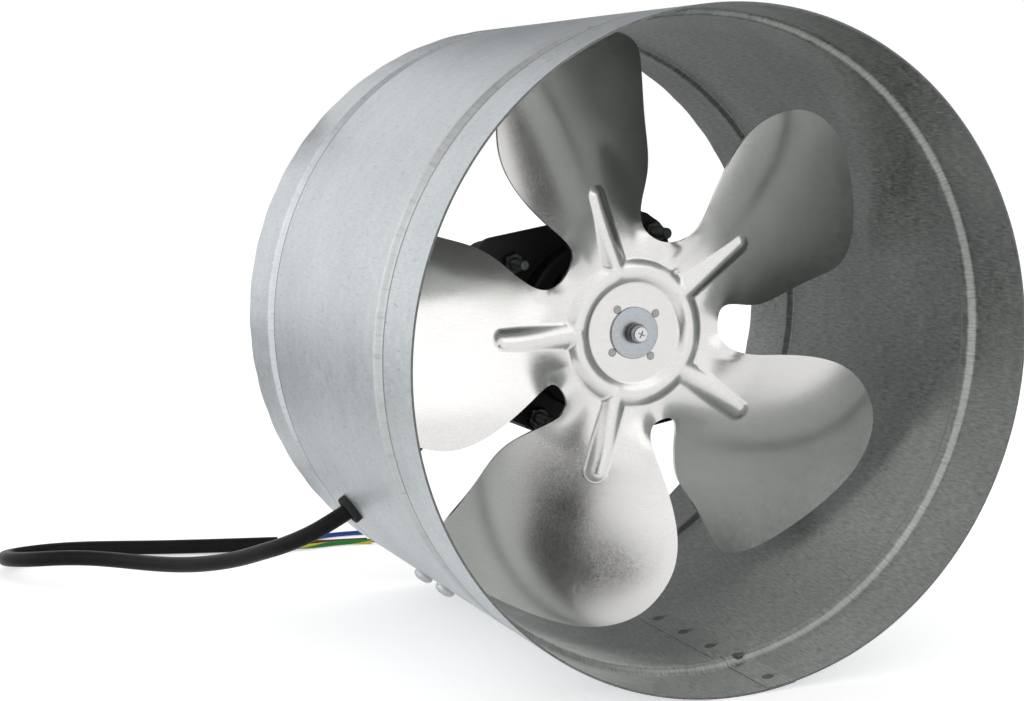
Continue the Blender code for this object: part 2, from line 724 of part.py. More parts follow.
def end_shield(name, depth, place):
    """A square flange with a round cup that carries the bearing, built towards +Y."""
    sides = 32
    cup_inner = SHIELD_CUP_RADIUS - SHIELD_SHEET
    middle = SHIELD_CUP_RADIUS - SHIELD_SHEET / 2
    outline = rounded_square(STATOR_SIDE, STATOR_CORNER)
    shape = prism(outline, 0, SHIELD_SHEET, [circle(middle, sides)] + bolt_holes())
    end = depth
    boss_start = end - BEARING_LENGTH / 2
    boss_end = boss_start + BEARING_LENGTH
    profile = (
        (cup_inner, 0),
        (SHIELD_CUP_RADIUS, 0),
        (SHIELD_CUP_RADIUS, end - SHIELD_SHEET),
        (SHIELD_CUP_RADIUS - SHIELD_SHEET, end),
        (BOSS_RADIUS, end),
        (BOSS_RADIUS, boss_end),
        (BEARING_SEAT_RADIUS, boss_end),
        (BEARING_SEAT_RADIUS, boss_start),
        (BOSS_RADIUS, boss_start),
        (BOSS_RADIUS, end - SHIELD_SHEET),
        (cup_inner - SHIELD_SHEET, end - SHIELD_SHEET),
        (cup_inner, end - 2 * SHIELD_SHEET),
    )
    shield = piece(name, shape, black_paint, motor_frame, place)
    combine(shield, helper(f"{name}_cup", turned(profile, sides), motor_frame, place), "UNION")
    return shield


def motor():
    stator_core()
    stator_coils()
    facing_front = Matrix.Rotation(math.pi, 4, "Z")
    front_seat = Matrix.Translation((0, STACK_FRONT_Y - SEAT_GAP, 0))
    rear_seat = Matrix.Translation((0, STACK_REAR_Y + SEAT_GAP, 0))
    end_shield("motor_front_shield", FRONT_CUP_DEPTH, front_seat @ facing_front)
    rear_shield = end_shield("motor_rear_shield", REAR_CUP_DEPTH, rear_seat)
    for name, front_y in (("front_bearing", FRONT_BEARING_Y), ("rear_bearing", REAR_BEARING_Y)):
        shape = ring(SHAFT_HOLE_RADIUS, BEARING_RADIUS, front_y, BEARING_LENGTH, 24)
        piece(name, shape, bronze, fan_axis)
    shape = turned_pin(LEAD_HOLE_RADIUS, LEAD_BUSH_LENGTH * 2, 16)
    entry = helper("lead_entry", shape, fan_axis, lead_bush_place(-LEAD_BUSH_LENGTH))
    combine(rear_shield, entry, "DIFFERENCE")


def motor_bolts():
    head_front = REAR_SHIELD_BACK_Y + SEAT_GAP
    tip = MOTOR_NUT_REAR_Y - MOTOR_NUT_HEIGHT - MOTOR_BOLT_PROUD
    for number, (x, z) in enumerate(motor_bolt_centres(), 1):
        place = Matrix.Translation((x, 0, z))
        shape = prism(hexagon(MOTOR_NUT_ACROSS), head_front, MOTOR_NUT_HEIGHT)
        bolt = piece(f"motor_bolt_{number}", shape, zinc, motor_frame, place)
        shank = turned_pin(MOTOR_BOLT_RADIUS, head_front + MOTOR_NUT_HEIGHT / 2 - tip, 12)
        lift = place @ Matrix.Translation((0, tip, 0))
        combine(bolt, helper(f"motor_bolt_shank_{number}", shank, motor_frame, lift), "UNION")
        hole = circle(MOTOR_HOLE_RADIUS, 12)
        front = MOTOR_NUT_REAR_Y - MOTOR_NUT_HEIGHT
        shape = prism(hexagon(MOTOR_NUT_ACROSS), front, MOTOR_NUT_HEIGHT, [hole])
        piece(f"motor_nut_{number}", shape, zinc, motor_frame, place)


# Rotor


def raised_pressing(across, outwards, radius):
    """How far the pressed ring and ribs stand towards the inlet at a point of the impeller."""
    flank = (HUB_RING_OUTER - HUB_RING_INNER) / 4
    ring_rise = min(radius - HUB_RING_INNER, HUB_RING_OUTER - radius) / flank
    ring_height = HUB_RING_HEIGHT * min(1.0, max(0.0, ring_rise))
    side = (RIB_WIDTH / 2 - abs(across)) / ((RIB_WIDTH - RIB_TOP_WIDTH) / 2)
    end = (RIB_END_RADIUS - outwards) / RIB_END_LENGTH
    start = (outwards - HUB_RING_INNER) / flank
    rib_height = RIB_HEIGHT * min(1.0, max(0.0, min(side, end, start)))
    return max(ring_height, rib_height)


def eased(share):
    """A share from 0 to 1 that starts and ends softly."""
    share = min(1.0, max(0.0, share))
    return share * share * (3 - 2 * share)


def impeller_height(x, z):
    """Y of the front face of the impeller; the sheet runs level from blade to blade under the notches."""
    radius = math.hypot(x, z)
    pitch_angle = 2 * math.pi / BLADE_COUNT
    turn = math.atan2(z, x) - FIRST_BLADE_ANGLE
    turn -= round(turn / pitch_angle) * pitch_angle
    across = radius * math.sin(turn)
    outwards = radius * math.cos(turn)
    blend = eased((radius - PITCH_START_RADIUS) / (PITCH_FULL_RADIUS - PITCH_START_RADIUS))
    between_blades = eased(4 * abs(turn) / pitch_angle - 1)
    below_notch = 1 - eased((radius - NOTCH_CENTRE_RADIUS) / NOTCH_RADIUS + 1)
    blend *= 1 - between_blades * below_notch
    bulge = (BLADE_CAMBER_LEVEL**2 - across * across) / (2 * BLADE_CAMBER_RADIUS)
    tilt = blend * (BLADE_PITCH_SLOPE * across + bulge)
    return IMPELLER_FACE_Y - tilt - raised_pressing(across, outwards, radius)


def at_blade(number, across, outwards):
    """(x, z) of a point given across and out along one blade."""
    angle = FIRST_BLADE_ANGLE + number * 2 * math.pi / BLADE_COUNT
    return (
        outwards * math.cos(angle) - across * math.sin(angle),
        outwards * math.sin(angle) + across * math.cos(angle),
    )


def impeller_outline():
    """Closed outline of the pressed sheet: each blade, then the round notch before the next one."""
    half = math.pi / BLADE_COUNT
    notch = (NOTCH_CENTRE_RADIUS * math.sin(half), NOTCH_CENTRE_RADIUS * math.cos(half))
    route = []
    for number in range(BLADE_COUNT):
        for degrees in (0, 55):
            angle = -half + math.radians(-90 - degrees)
            across = notch[0] + NOTCH_RADIUS * math.cos(angle)
            outwards = notch[1] + NOTCH_RADIUS * math.sin(angle)
            route.append((*at_blade(-number, across, outwards), 0.0))
        for width_share, share in BLADE_OUTLINE:
            across = width_share * BLADE_WIDTH
            outwards = BLADE_ROOT_RADIUS + share * (BLADE_TIP_RADIUS - BLADE_ROOT_RADIUS)
            route.append((*at_blade(-number, across, outwards), 0.0))
        angle = half + math.radians(-90 + 55)
        across = -notch[0] + NOTCH_RADIUS * math.cos(angle)
        outwards = notch[1] + NOTCH_RADIUS * math.sin(angle)
        route.append((*at_blade(-number, across, outwards), 0.0))
    length = np.linalg.norm(np.diff(smooth_curve(route, 8, True), axis=0), axis=1).sum()
    points = even_points(route, length / (OUTLINE_STEPS * BLADE_COUNT), True)
    return [(point[0], point[1]) for point in points[:-1]]


def inside_by(point, outline, margin):
    """Whether a point lies inside the outline and at least this far from it."""
    points = np.array(outline)
    after = np.roll(points, -1, axis=0)
    along = after - points
    offset = np.array(point) - points
    share = np.clip((offset * along).sum(1) / (along * along).sum(1), 0, 1)
    distance = np.linalg.norm(offset - share[:, None] * along, axis=1).min()
    crossing = (points[:, 1] > point[1]) != (after[:, 1] > point[1])
    rise = np.where(crossing, along[:, 1], 1.0)
    cut = points[:, 0] + (point[1] - points[:, 1]) * along[:, 0] / rise
    return bool((crossing & (cut > point[0])).sum() % 2) and distance > margin


def impeller_inner_points(outline):
    """Points that carry the pressed ring, the ribs and the curve of the blades."""
    points = []
    flank = (HUB_RING_OUTER - HUB_RING_INNER) / 4
    ring_radii = (HUB_RING_INNER, HUB_RING_INNER + flank, HUB_RING_OUTER - flank, HUB_RING_OUTER)
    for radius in ring_radii:
        points.extend(circle(radius, 40, turn=FIRST_BLADE_ANGLE))
    half_widths = (-RIB_WIDTH / 2, -RIB_TOP_WIDTH / 2, RIB_TOP_WIDTH / 2, RIB_WIDTH / 2)
    rib_stations = [*np.linspace(HUB_RING_OUTER + flank, RIB_END_RADIUS - RIB_END_LENGTH, 4), RIB_END_RADIUS]
    for number in range(BLADE_COUNT):
        for outwards in rib_stations:
            points.extend(at_blade(number, across, outwards) for across in half_widths)
        steps = int(TUBE_RADIUS / BLADE_GRID)
        for row in range(steps):
            for column in range(-steps // 2, steps // 2 + 1):
                across = column * BLADE_GRID
                outwards = HUB_RING_OUTER + (row + 0.5) * BLADE_GRID
                beside_rib = abs(across) > RIB_WIDTH * 0.8 or outwards > RIB_END_RADIUS + BLADE_GRID / 2
                half_sector = abs(math.atan2(across, outwards)) < math.pi / BLADE_COUNT - 0.02
                point = at_blade(number, across, outwards)
                if beside_rib and half_sector and inside_by(point, outline, BLADE_GRID * 0.45):
                    points.append(point)
    return points


def fan_impeller():
    outline = impeller_outline()
    holes = [circle(SHAFT_HOLE_RADIUS, 16)]
    for number in range(HUB_HOLE_COUNT):
        angle = HUB_HOLE_ANGLE + number * 2 * math.pi / HUB_HOLE_COUNT
        centre = (HUB_HOLE_CIRCLE_RADIUS * math.cos(angle), HUB_HOLE_CIRCLE_RADIUS * math.sin(angle))
        holes.append(circle(HUB_HOLE_RADIUS, 8, centre))
    shape = flat_sheet(outline, holes, impeller_inner_points(outline))
    for corner in shape.verts:
        corner.co.y = impeller_height(corner.co.x, corner.co.z)
    piece("fan_impeller", thicken(shape, 0, IMPELLER_SHEET), aluminium, rotor_axis, sharp_degrees=60)


def rotor_fixings():
    bore = CLAMP_SCREW_RADIUS + HOLE_CLEARANCE
    front = WASHER_BACK_Y - WASHER_THICKNESS
    piece("impeller_washer", ring(bore, WASHER_RADIUS, front, WASHER_THICKNESS, 24), zinc, rotor_axis)
    front = SPRING_BACK_Y - SPRING_WASHER_THICKNESS
    shape = ring(bore, SPRING_WASHER_RADIUS, front, SPRING_WASHER_THICKNESS, 16)
    piece("spring_washer", shape, zinc, rotor_axis)
    top = CLAMP_SEAT_Y - CLAMP_HEAD_HEIGHT
    profile = (
        (0, top),
        (CLAMP_HEAD_RADIUS * 0.7, top),
        (CLAMP_HEAD_RADIUS, top + CLAMP_HEAD_HEIGHT * 0.35),
        (CLAMP_HEAD_RADIUS, CLAMP_SEAT_Y),
        (CLAMP_SCREW_RADIUS, CLAMP_SEAT_Y),
        (CLAMP_SCREW_RADIUS, CLAMP_SEAT_Y + CLAMP_SCREW_LENGTH),
        (0, CLAMP_SEAT_Y + CLAMP_SCREW_LENGTH),
    )
    piece("impeller_screw", turned(profile, 16, closed=False), zinc, rotor_axis)
    flange_back = DRIVE_HUB_FRONT_Y + DRIVE_HUB_FLANGE
    profile = (
        (SHAFT_HOLE_RADIUS, DRIVE_HUB_FRONT_Y),
        (DRIVE_HUB_FLANGE_RADIUS, DRIVE_HUB_FRONT_Y),
        (DRIVE_HUB_FLANGE_RADIUS, flange_back),
        (DRIVE_HUB_BOSS_RADIUS, flange_back),
        (DRIVE_HUB_BOSS_RADIUS, DRIVE_HUB_BACK_Y),
        (SHAFT_HOLE_RADIUS, DRIVE_HUB_BACK_Y),
    )
    piece("drive_hub", turned(profile, 24), zinc, rotor_axis)


def motor_shaft():
    tapped = CLAMP_SCREW_RADIUS + HOLE_CLEARANCE
    tapped_end = CLAMP_SEAT_Y + CLAMP_SCREW_LENGTH + SEAT_GAP
    back = REAR_BEARING_Y + BEARING_LENGTH + RUNNING_GAP
    profile = (
        (0, tapped_end),
        (tapped, tapped_end),
        (tapped, SHAFT_FRONT_Y),
        (SHAFT_RADIUS, SHAFT_FRONT_Y),
        (SHAFT_RADIUS, back),
        (0, back),
    )
    piece("motor_shaft", turned(profile, 16, closed=False), ground_steel, rotor_axis)
    radius = STATOR_BORE_RADIUS - AIR_GAP
    shape = ring(SHAFT_HOLE_RADIUS, radius, STACK_FRONT_Y, STACK_LENGTH, 32)
    piece("rotor_core", shape, lamination, rotor_axis)


# Cable


def cable_grommet():
    """Rubber bush with a flange on each side of the shell wall."""
    bore = CABLE_BORE_RADIUS
    inside = TUBE_INNER_FLAT - SEAT_GAP
    outside = TUBE_FLAT_RADIUS + SEAT_GAP
    profile = (
        (bore, inside - GROMMET_FLANGE),
        (GROMMET_FLANGE_RADIUS, inside - GROMMET_FLANGE),
        (GROMMET_FLANGE_RADIUS, inside),
        (GROMMET_NECK_RADIUS, inside),
        (GROMMET_NECK_RADIUS, outside),
        (GROMMET_FLANGE_RADIUS, outside),
        (GROMMET_FLANGE_RADIUS, outside + GROMMET_FLANGE),
        (bore, outside + GROMMET_FLANGE),
    )
    piece("cable_grommet", turned(profile, 20), rubber, fan_axis, outward_matrix(GROMMET_ANGLE, 0, GROMMET_Y))


def on_grommet_axis(radius):
    """World point on the grommet's axis at this distance from the fan axis."""
    return Vector(
        (radius * math.cos(GROMMET_ANGLE), GROMMET_Y, AXIS_HEIGHT + radius * math.sin(GROMMET_ANGLE))
    )


def cable_points(route):
    """Even points along a cable, with a straight first stretch to the second point of its route."""
    points = even_points(route, POINT_SPACING * 2 * CORD_RADIUS)
    return np.insert(points, 1, route[1], axis=0)


def free_cable():
    start = on_grommet_axis(TUBE_INNER_FLAT + SEAT_GAP / 2)
    outlet = on_grommet_axis(TUBE_FLAT_RADIUS + SEAT_GAP + GROMMET_FLANGE)
    route = [tuple(start), tuple(outlet), *CORD_ROUTE]
    tube_along("power_cord", cable_points(route), CORD_RADIUS, sheath)
    for name, core_route in CORE_ROUTES.items():
        points = even_points(core_route, POINT_SPACING * 2 * CORE_RADIUS)
        tube_along(name, points, CORE_RADIUS, CORE_FINISHES[name])
        direction = Vector(points[-1] - points[-2]).normalized()
        first = Vector(points[-1]) + direction * SEAT_GAP
        middle = first + direction * COPPER_LENGTH / 2
        last = first + direction * COPPER_LENGTH
        tube_along(f"{name}_copper", [first, middle, last], COPPER_RADIUS, copper)


def lead_bush_place(lift):
    """Frame of the bush in the side of the rear shield, in line with the grommet."""
    y = STACK_REAR_Y + SEAT_GAP + LEAD_ENTRY_DEPTH
    return outward_matrix(GROMMET_ANGLE, SHIELD_CUP_RADIUS + lift, y)


def inside_lead():
    shape = ring(CABLE_BORE_RADIUS, LEAD_BUSH_RADIUS, -LEAD_BUSH_LENGTH / 2, LEAD_BUSH_LENGTH, 16)
    piece("lead_bush", shape, rubber, fan_axis, lead_bush_place(0))
    start = on_grommet_axis(TUBE_INNER_FLAT - SEAT_GAP / 2)
    inlet = on_grommet_axis(TUBE_INNER_FLAT - SEAT_GAP - GROMMET_FLANGE)
    straight_in = on_grommet_axis(TUBE_INNER_FLAT - GROMMET_FLANGE - 3 * CORD_RADIUS)
    bush = fan_axis.matrix_world @ lead_bush_place(0)
    end = bush @ Vector((0, -LEAD_BUSH_LENGTH / 2, 0))
    straight_out = bush @ Vector((0, LEAD_BUSH_LENGTH / 2 + 2 * CORD_RADIUS, 0))
    middle = (straight_in + straight_out) / 2 + Vector((0, LEAD_SWING, -LEAD_SAG))
    route = [tuple(point) for point in (start, inlet, straight_in, middle, straight_out, end)]
    tube_along("motor_lead", cable_points(route), CORD_RADIUS, sheath)


housing_shell()
motor_bracket()
foot_fasteners()
motor()
motor_bolts()
fan_impeller()
rotor_fixings()
motor_shaft()
cable_grommet()
free_cable()
inside_lead()
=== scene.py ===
"""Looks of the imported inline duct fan: galvanised tube, pressed impeller, motor, fasteners and cable.

Laid out as an add-on and run as a script. Metres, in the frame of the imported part: the fan axis runs
along Y from the inlet (low Y) to the outlet (high Y), and the tube lies on the floor at Z = 0.
"""

import json
import math

import bmesh
import bpy
import numpy as np
from mathutils import Matrix
from mathutils import Vector
from mathutils import noise
from mathutils.geometry import delaunay_2d_cdt
from mathutils.kdtree import KDTree


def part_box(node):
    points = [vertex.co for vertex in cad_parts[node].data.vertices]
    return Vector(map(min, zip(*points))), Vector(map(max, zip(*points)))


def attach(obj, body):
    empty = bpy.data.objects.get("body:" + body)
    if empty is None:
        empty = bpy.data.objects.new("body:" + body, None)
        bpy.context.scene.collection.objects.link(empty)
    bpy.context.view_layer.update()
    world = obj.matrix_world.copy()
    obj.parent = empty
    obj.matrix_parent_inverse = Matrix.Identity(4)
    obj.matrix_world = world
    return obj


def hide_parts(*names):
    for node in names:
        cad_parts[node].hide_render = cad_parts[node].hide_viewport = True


bl_info = {
    "name": "Inline duct fan",
    "version": (1, 0, 0),
    "blender": (4, 5, 0),
    "location": "3D View > Sidebar > Duct fan",
    "description": "Builds the looks of an inline duct fan around its packed solids",
    "category": "Object",
}

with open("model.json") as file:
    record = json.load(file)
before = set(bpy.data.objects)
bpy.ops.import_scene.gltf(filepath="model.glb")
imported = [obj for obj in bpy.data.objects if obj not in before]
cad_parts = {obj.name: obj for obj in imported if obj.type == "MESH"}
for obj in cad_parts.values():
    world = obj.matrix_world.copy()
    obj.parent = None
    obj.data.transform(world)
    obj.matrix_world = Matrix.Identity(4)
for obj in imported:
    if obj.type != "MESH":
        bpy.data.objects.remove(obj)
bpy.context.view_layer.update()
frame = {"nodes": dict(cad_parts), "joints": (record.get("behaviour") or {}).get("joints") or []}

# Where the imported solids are
AXIS = Vector(frame["joints"][0]["pos_m"])
SHELL_LOW, SHELL_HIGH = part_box("housing_shell")
TUBE_RADIUS = AXIS.z
TUBE_FRONT = SHELL_LOW.y
TUBE_REAR = SHELL_HIGH.y
STACK_LOW, STACK_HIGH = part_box("stator_core")
SEAT_GAP = 0.0003
FACE_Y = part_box("impeller_washer")[1].y + SEAT_GAP
PLATE_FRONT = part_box("motor_nut_1")[1].y + SEAT_GAP
BOLT_HEAD = 0.0040
BOLT_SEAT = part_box("motor_bolt_1")[1].y - BOLT_HEAD
BOLT_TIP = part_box("motor_bolt_1")[0].y

# Lap of the rolled sheet, in degrees round the tube, and the row of spot welds through it
SEAM_ANGLE = math.radians(-78.2)
LAP_WIDTH = 5.5
LAP_FADE = 18.0
LAP_EDGE = 360.0 - LAP_WIDTH
WELD_COUNT = 9
WELD_START = -0.0915
WELD_PITCH = 0.022
WELD_LINE = 0.7795

# Impeller sheet
BLADE_COUNT = 5
BLADE_PITCH = 2 * math.pi / BLADE_COUNT
BLADE_ROOT = 0.0520
BLADE_TIP = 0.1187
BLADE_WIDTH = 0.0866
BLADE_SLOPE = 0.44
TWIST_START = 0.024
TWIST_END = 0.055
NOTCH_RADIUS = 0.0100
NOTCH_CENTRE = 0.0480
NOTCH_DEGREES = 55
HUB_HOLE = 0.0043
RIVET_CIRCLE = 0.0121
RIVET_DEGREES = 38
DIMPLE_X = 0.0185
DIMPLE_Z = 0.0237
DIMPLE_RADIUS = 0.0014
DIMPLE_DEPTH = 0.0006

# Blade outline seen from the inlet: share of the blade width towards the leading side,
# and share of the way from root to tip
BLADE_OUTLINE = (
    (0.289, 0.00), (0.364, 0.15), (0.427, 0.32), (0.453, 0.51), (0.421, 0.69),
    (0.346, 0.84), (0.196, 0.96), (-0.012, 1.00), (-0.289, 0.96), (-0.468, 0.89),
    (-0.537, 0.81), (-0.547, 0.73), (-0.456, 0.38), (-0.364, 0.06),
)

# Hub fixings
HUB_BORE = 0.0023
WASHER_RADIUS = 0.0104
WASHER_FRONT = FACE_Y - 0.0009
SPRING_RADIUS = 0.0040
SPRING_GAP = 0.0002

# Motor and its fasteners
STACK_SIDE = 0.0780
STACK_CORNER = 0.0080
STACK_BORE = 0.0335
SHIELD_SHEET = 0.0020
CUP_RADIUS = 0.0355
BOSS_RADIUS = 0.0113
BOSS_BORE = 0.0083
BOSS_REACH = 0.0045
FRONT_CUP_DEPTH = 0.0120
REAR_CUP_DEPTH = 0.0164
SLOT_COUNT = 10
SLOT_CIRCLE = 0.0230
SLOT_DEPTH = 0.0120
BOLT_TURN = math.radians(10)
BOLT_CIRCLE = 0.04595
BOLT_HOLE = 0.0027
BOLT_RADIUS = 0.0024
THREAD_ROOT = 0.0020
THREAD_PITCH = 0.0008
HEX_FLATS = 0.0080
FOOT_NUT_SEAT = 0.12178
FOOT_NUT_HEIGHT = 0.0022

# Cable
GROMMET_ANGLE = math.radians(-145)
GROMMET_Y = 0.0310
GROMMET_FACE = 0.12778
SHEATH_START = 0.12423

# Route of the free cable from the grommet to the floor, and along it to the end of its sheath
CORD_ROUTE = (
    (-0.1102, 0.0317, 0.0483), (-0.1168, 0.0344, 0.0440), (-0.1228, 0.0393, 0.0400),
    (-0.1282, 0.0462, 0.0362), (-0.1330, 0.0555, 0.0324), (-0.1395, 0.0705, 0.0268),
    (-0.1476, 0.0880, 0.0216), (-0.1555, 0.1045, 0.0180), (-0.1640, 0.1202, 0.0157),
    (-0.1738, 0.1345, 0.0146), (-0.1854, 0.1466, 0.0142), (-0.1986, 0.1560, 0.0136),
    (-0.2110, 0.1664, 0.0118), (-0.2186, 0.1820, 0.0092), (-0.2170, 0.1992, 0.0063),
    (-0.2058, 0.2120, 0.0043), (-0.1886, 0.2160, 0.0036), (-0.1685, 0.2115, 0.0035),
    (-0.1485, 0.2042, 0.0035), (-0.1260, 0.1972, 0.0035), (-0.1070, 0.1920, 0.0035),
    (-0.0900, 0.1875, 0.0035),
)

# Where the three cores lie once they leave the sheath
CORE_ROUTES = {
    "blue": (
        (-0.0889, 0.1886, 0.00275), (-0.0825, 0.1885, 0.0022), (-0.0755, 0.1930, 0.0014),
        (-0.0690, 0.1995, 0.0013), (-0.0590, 0.2045, 0.0013), (-0.0400, 0.2040, 0.0013),
    ),
    "brown": (
        (-0.0894, 0.1873, 0.0050), (-0.0815, 0.1855, 0.0044), (-0.0720, 0.1876, 0.0026),
        (-0.0580, 0.1900, 0.0013), (-0.0440, 0.1875, 0.0013),
    ),
    "earth": (
        (-0.0898, 0.1861, 0.00275), (-0.0820, 0.1845, 0.0020), (-0.0730, 0.1850, 0.0014),
        (-0.0580, 0.1865, 0.0013), (-0.0430, 0.1830, 0.0013),
    ),
}

# Cards out of the picture that only show in reflections: their corners and their tone
REFLECTION_CARDS = {
    "card_by_camera": (
        (
            (-0.276, -0.418, 0.002), (-0.032, -0.488, 0.002), (-0.166, -0.450, 0.069),
            (-0.162, -0.451, 0.160), (-0.276, -0.418, 0.160),
        ),
        0.05,
    ),
    "card_beside_camera": (
        (
            (-0.164, -0.451, 0.069), (-0.030, -0.489, 0.002), (0.096, -0.525, 0.002),
            (0.096, -0.525, 0.110), (-0.160, -0.452, 0.110),
        ),
        1.10,
    ),
    "card_left_of_camera": (
        ((-0.394, -0.384, 0.002), (-0.276, -0.418, 0.002), (-0.276, -0.418, 0.160), (-0.394, -0.384, 0.160)),
        0.45,
    ),
    "card_on_floor": (
        ((-0.23, -0.33, 0.002), (0.0, -0.36, 0.002), (-0.012, -0.494, 0.002), (-0.276, -0.418, 0.002)),
        0.03,
    ),
    "card_above": (((-1.2, -0.5, 1.5), (1.2, -0.5, 1.5), (1.2, 1.2, 1.5), (-1.2, 1.2, 1.5)), 0.45),
    "card_right": (((1.2, -1.0, 0.0), (1.2, 1.2, 0.0), (1.2, 1.2, 1.0), (1.2, -1.0, 1.0)), 0.08),
    "card_behind": (((-0.6, 0.3, 0.003), (0.4, 0.3, 0.003), (0.4, 1.6, 0.003), (-0.6, 1.6, 0.003)), 0.30),
    "card_rear_right": (((0.15, 1.5, 0.2), (1.5, 1.5, 0.2), (1.5, 1.5, 1.5), (0.15, 1.5, 1.5)), 0.08),
    "card_outlet": (
        ((-0.11, 0.125, 0.03), (0.11, 0.125, 0.03), (0.11, 0.125, 0.22), (-0.11, 0.125, 0.22)),
        0.28,
    ),
}

# Camera of the photograph
CAMERA_PLACE = (-0.32846, -0.66429, 0.20772)
CAMERA_DIRECTION = (0.38916, 0.91288, -0.12331)


def length_setting(name, description, default):
    """A length that a user may change, in metres."""
    return bpy.props.FloatProperty(
        name=name, description=description, default=default, min=0.0, precision=5, unit="LENGTH"
    )


def colour_setting(name, description, default):
    """A colour that a user may change."""
    return bpy.props.FloatVectorProperty(
        name=name, description=description, default=default, size=3, min=0.0, max=1.0, subtype="COLOR"
    )


def number_setting(name, description, default, unit="NONE"):
    """A plain number, or a lamp's power in watts."""
    return bpy.props.FloatProperty(name=name, description=description, default=default, min=0.0, unit=unit)


class TubeSettings(bpy.types.PropertyGroup):
    """Sizes and colours of the galvanised tube"""

    wall: length_setting("Wall", "Thickness of the sheet", 0.0008)
    bead_from_rim: length_setting("Bead from rim", "Distance from each rim to the middle of its bead", 0.0334)
    bead_width: length_setting("Bead width", "Width of each rolled-in bead", 0.0092)
    bead_depth: length_setting("Bead depth", "Depth of each rolled-in bead", 0.0024)
    crimp_depth: length_setting("Crimp depth", "Height of the roller marks across the beads", 0.00028)
    waviness: length_setting("Waviness", "Depth of the soft dents left by rolling", 0.00008)
    lap_step: length_setting("Lap step", "Height of the step where the sheet's ends overlap", 0.0003)
    outside_colour: colour_setting("Outside colour", "Zinc coat on the outside", (0.60, 0.635, 0.655))
    # The inside colour is darker than the outside one as painted shade inside the tube.
    inside_shaded_colour: colour_setting("Inside colour", "Zinc coat on the inside", (0.44, 0.468, 0.45))


class ImpellerSettings(bpy.types.PropertyGroup):
    """Sizes and colour of the pressed impeller"""

    sheet: length_setting("Sheet", "Thickness of the pressed sheet", 0.0015)
    ring_inner: length_setting("Ring inside", "Inside radius of the pressed ring round the hub", 0.0198)
    ring_outer: length_setting("Ring outside", "Outside radius of the pressed ring round the hub", 0.0298)
    ring_height: length_setting("Ring height", "Height of the pressed ring", 0.0019)
    rib_width: length_setting("Rib width", "Width of each pressed rib where it leaves the ring", 0.0106)
    rib_end_width: length_setting("Rib end width", "Width of each pressed rib at its end", 0.0078)
    rib_height: length_setting("Rib height", "Height of each pressed rib where it leaves the ring", 0.0020)
    rib_end: length_setting("Rib end", "Radius at which each rib ends", 0.0615)
    camber_radius: length_setting("Camber radius", "Radius of the curve across each blade", 0.20)
    camber_level: length_setting("Camber level", "Distance from a blade's middle where it is level", 0.030)
    colour: colour_setting("Colour", "Mill finish of the aluminium", (0.795, 0.785, 0.768))


class MotorSettings(bpy.types.PropertyGroup):
    """Sizes and colours of the motor and its bracket"""

    lamination: length_setting("Lamination", "Thickness of each sheet of the stator stack", 0.0010)
    paint_colour: colour_setting("Paint colour", "Paint on bracket and shields", (0.016, 0.016, 0.017))
    lamination_colour: colour_setting("Lamination colour", "Varnished stack", (0.045, 0.045, 0.05))
    zinc_colour: colour_setting("Zinc colour", "Plate on the screws, nuts and washers", (0.62, 0.645, 0.68))


class CableSettings(bpy.types.PropertyGroup):
    """Sizes and colours of the cable"""

    sheath_radius: length_setting("Sheath radius", "Radius of the cable's sheath", 0.0034)
    core_radius: length_setting("Core radius", "Radius of each insulated core", 0.00115)
    copper_length: length_setting("Copper length", "Bare length at the end of each core", 0.0060)
    sheath_colour: colour_setting("Sheath colour", "Black sheath and rubber", (0.008, 0.008, 0.009))
    blue_colour: colour_setting("Blue core", "Insulation of the blue core", (0.012, 0.11, 0.52))
    brown_colour: colour_setting("Brown core", "Insulation of the brown core", (0.13, 0.045, 0.02))
    green_colour: colour_setting("Green core", "Insulation of the earth core", (0.03, 0.28, 0.05))
    stripe_colour: colour_setting("Stripe", "Stripe along the earth core", (0.78, 0.72, 0.05))


class StageSettings(bpy.types.PropertyGroup):
    """Camera, lights and floor"""

    lens: number_setting("Lens", "Focal length of the camera in millimetres", 64.37)
    front_power: number_setting("Front panel", "Power of the panel above the front", 0.8, "POWER")
    left_power: number_setting("Left panel", "Power of the panel on the left", 2.6, "POWER")
    backdrop_tone: number_setting("Backdrop", "Brightness of the white backdrop", 1.0)
    room_tone: number_setting("Room", "Brightness of the soft light from all round", 0.85)
    floor_colour: colour_setting("Floor", "Colour of the floor", (0.86, 0.86, 0.86))


# Nodes


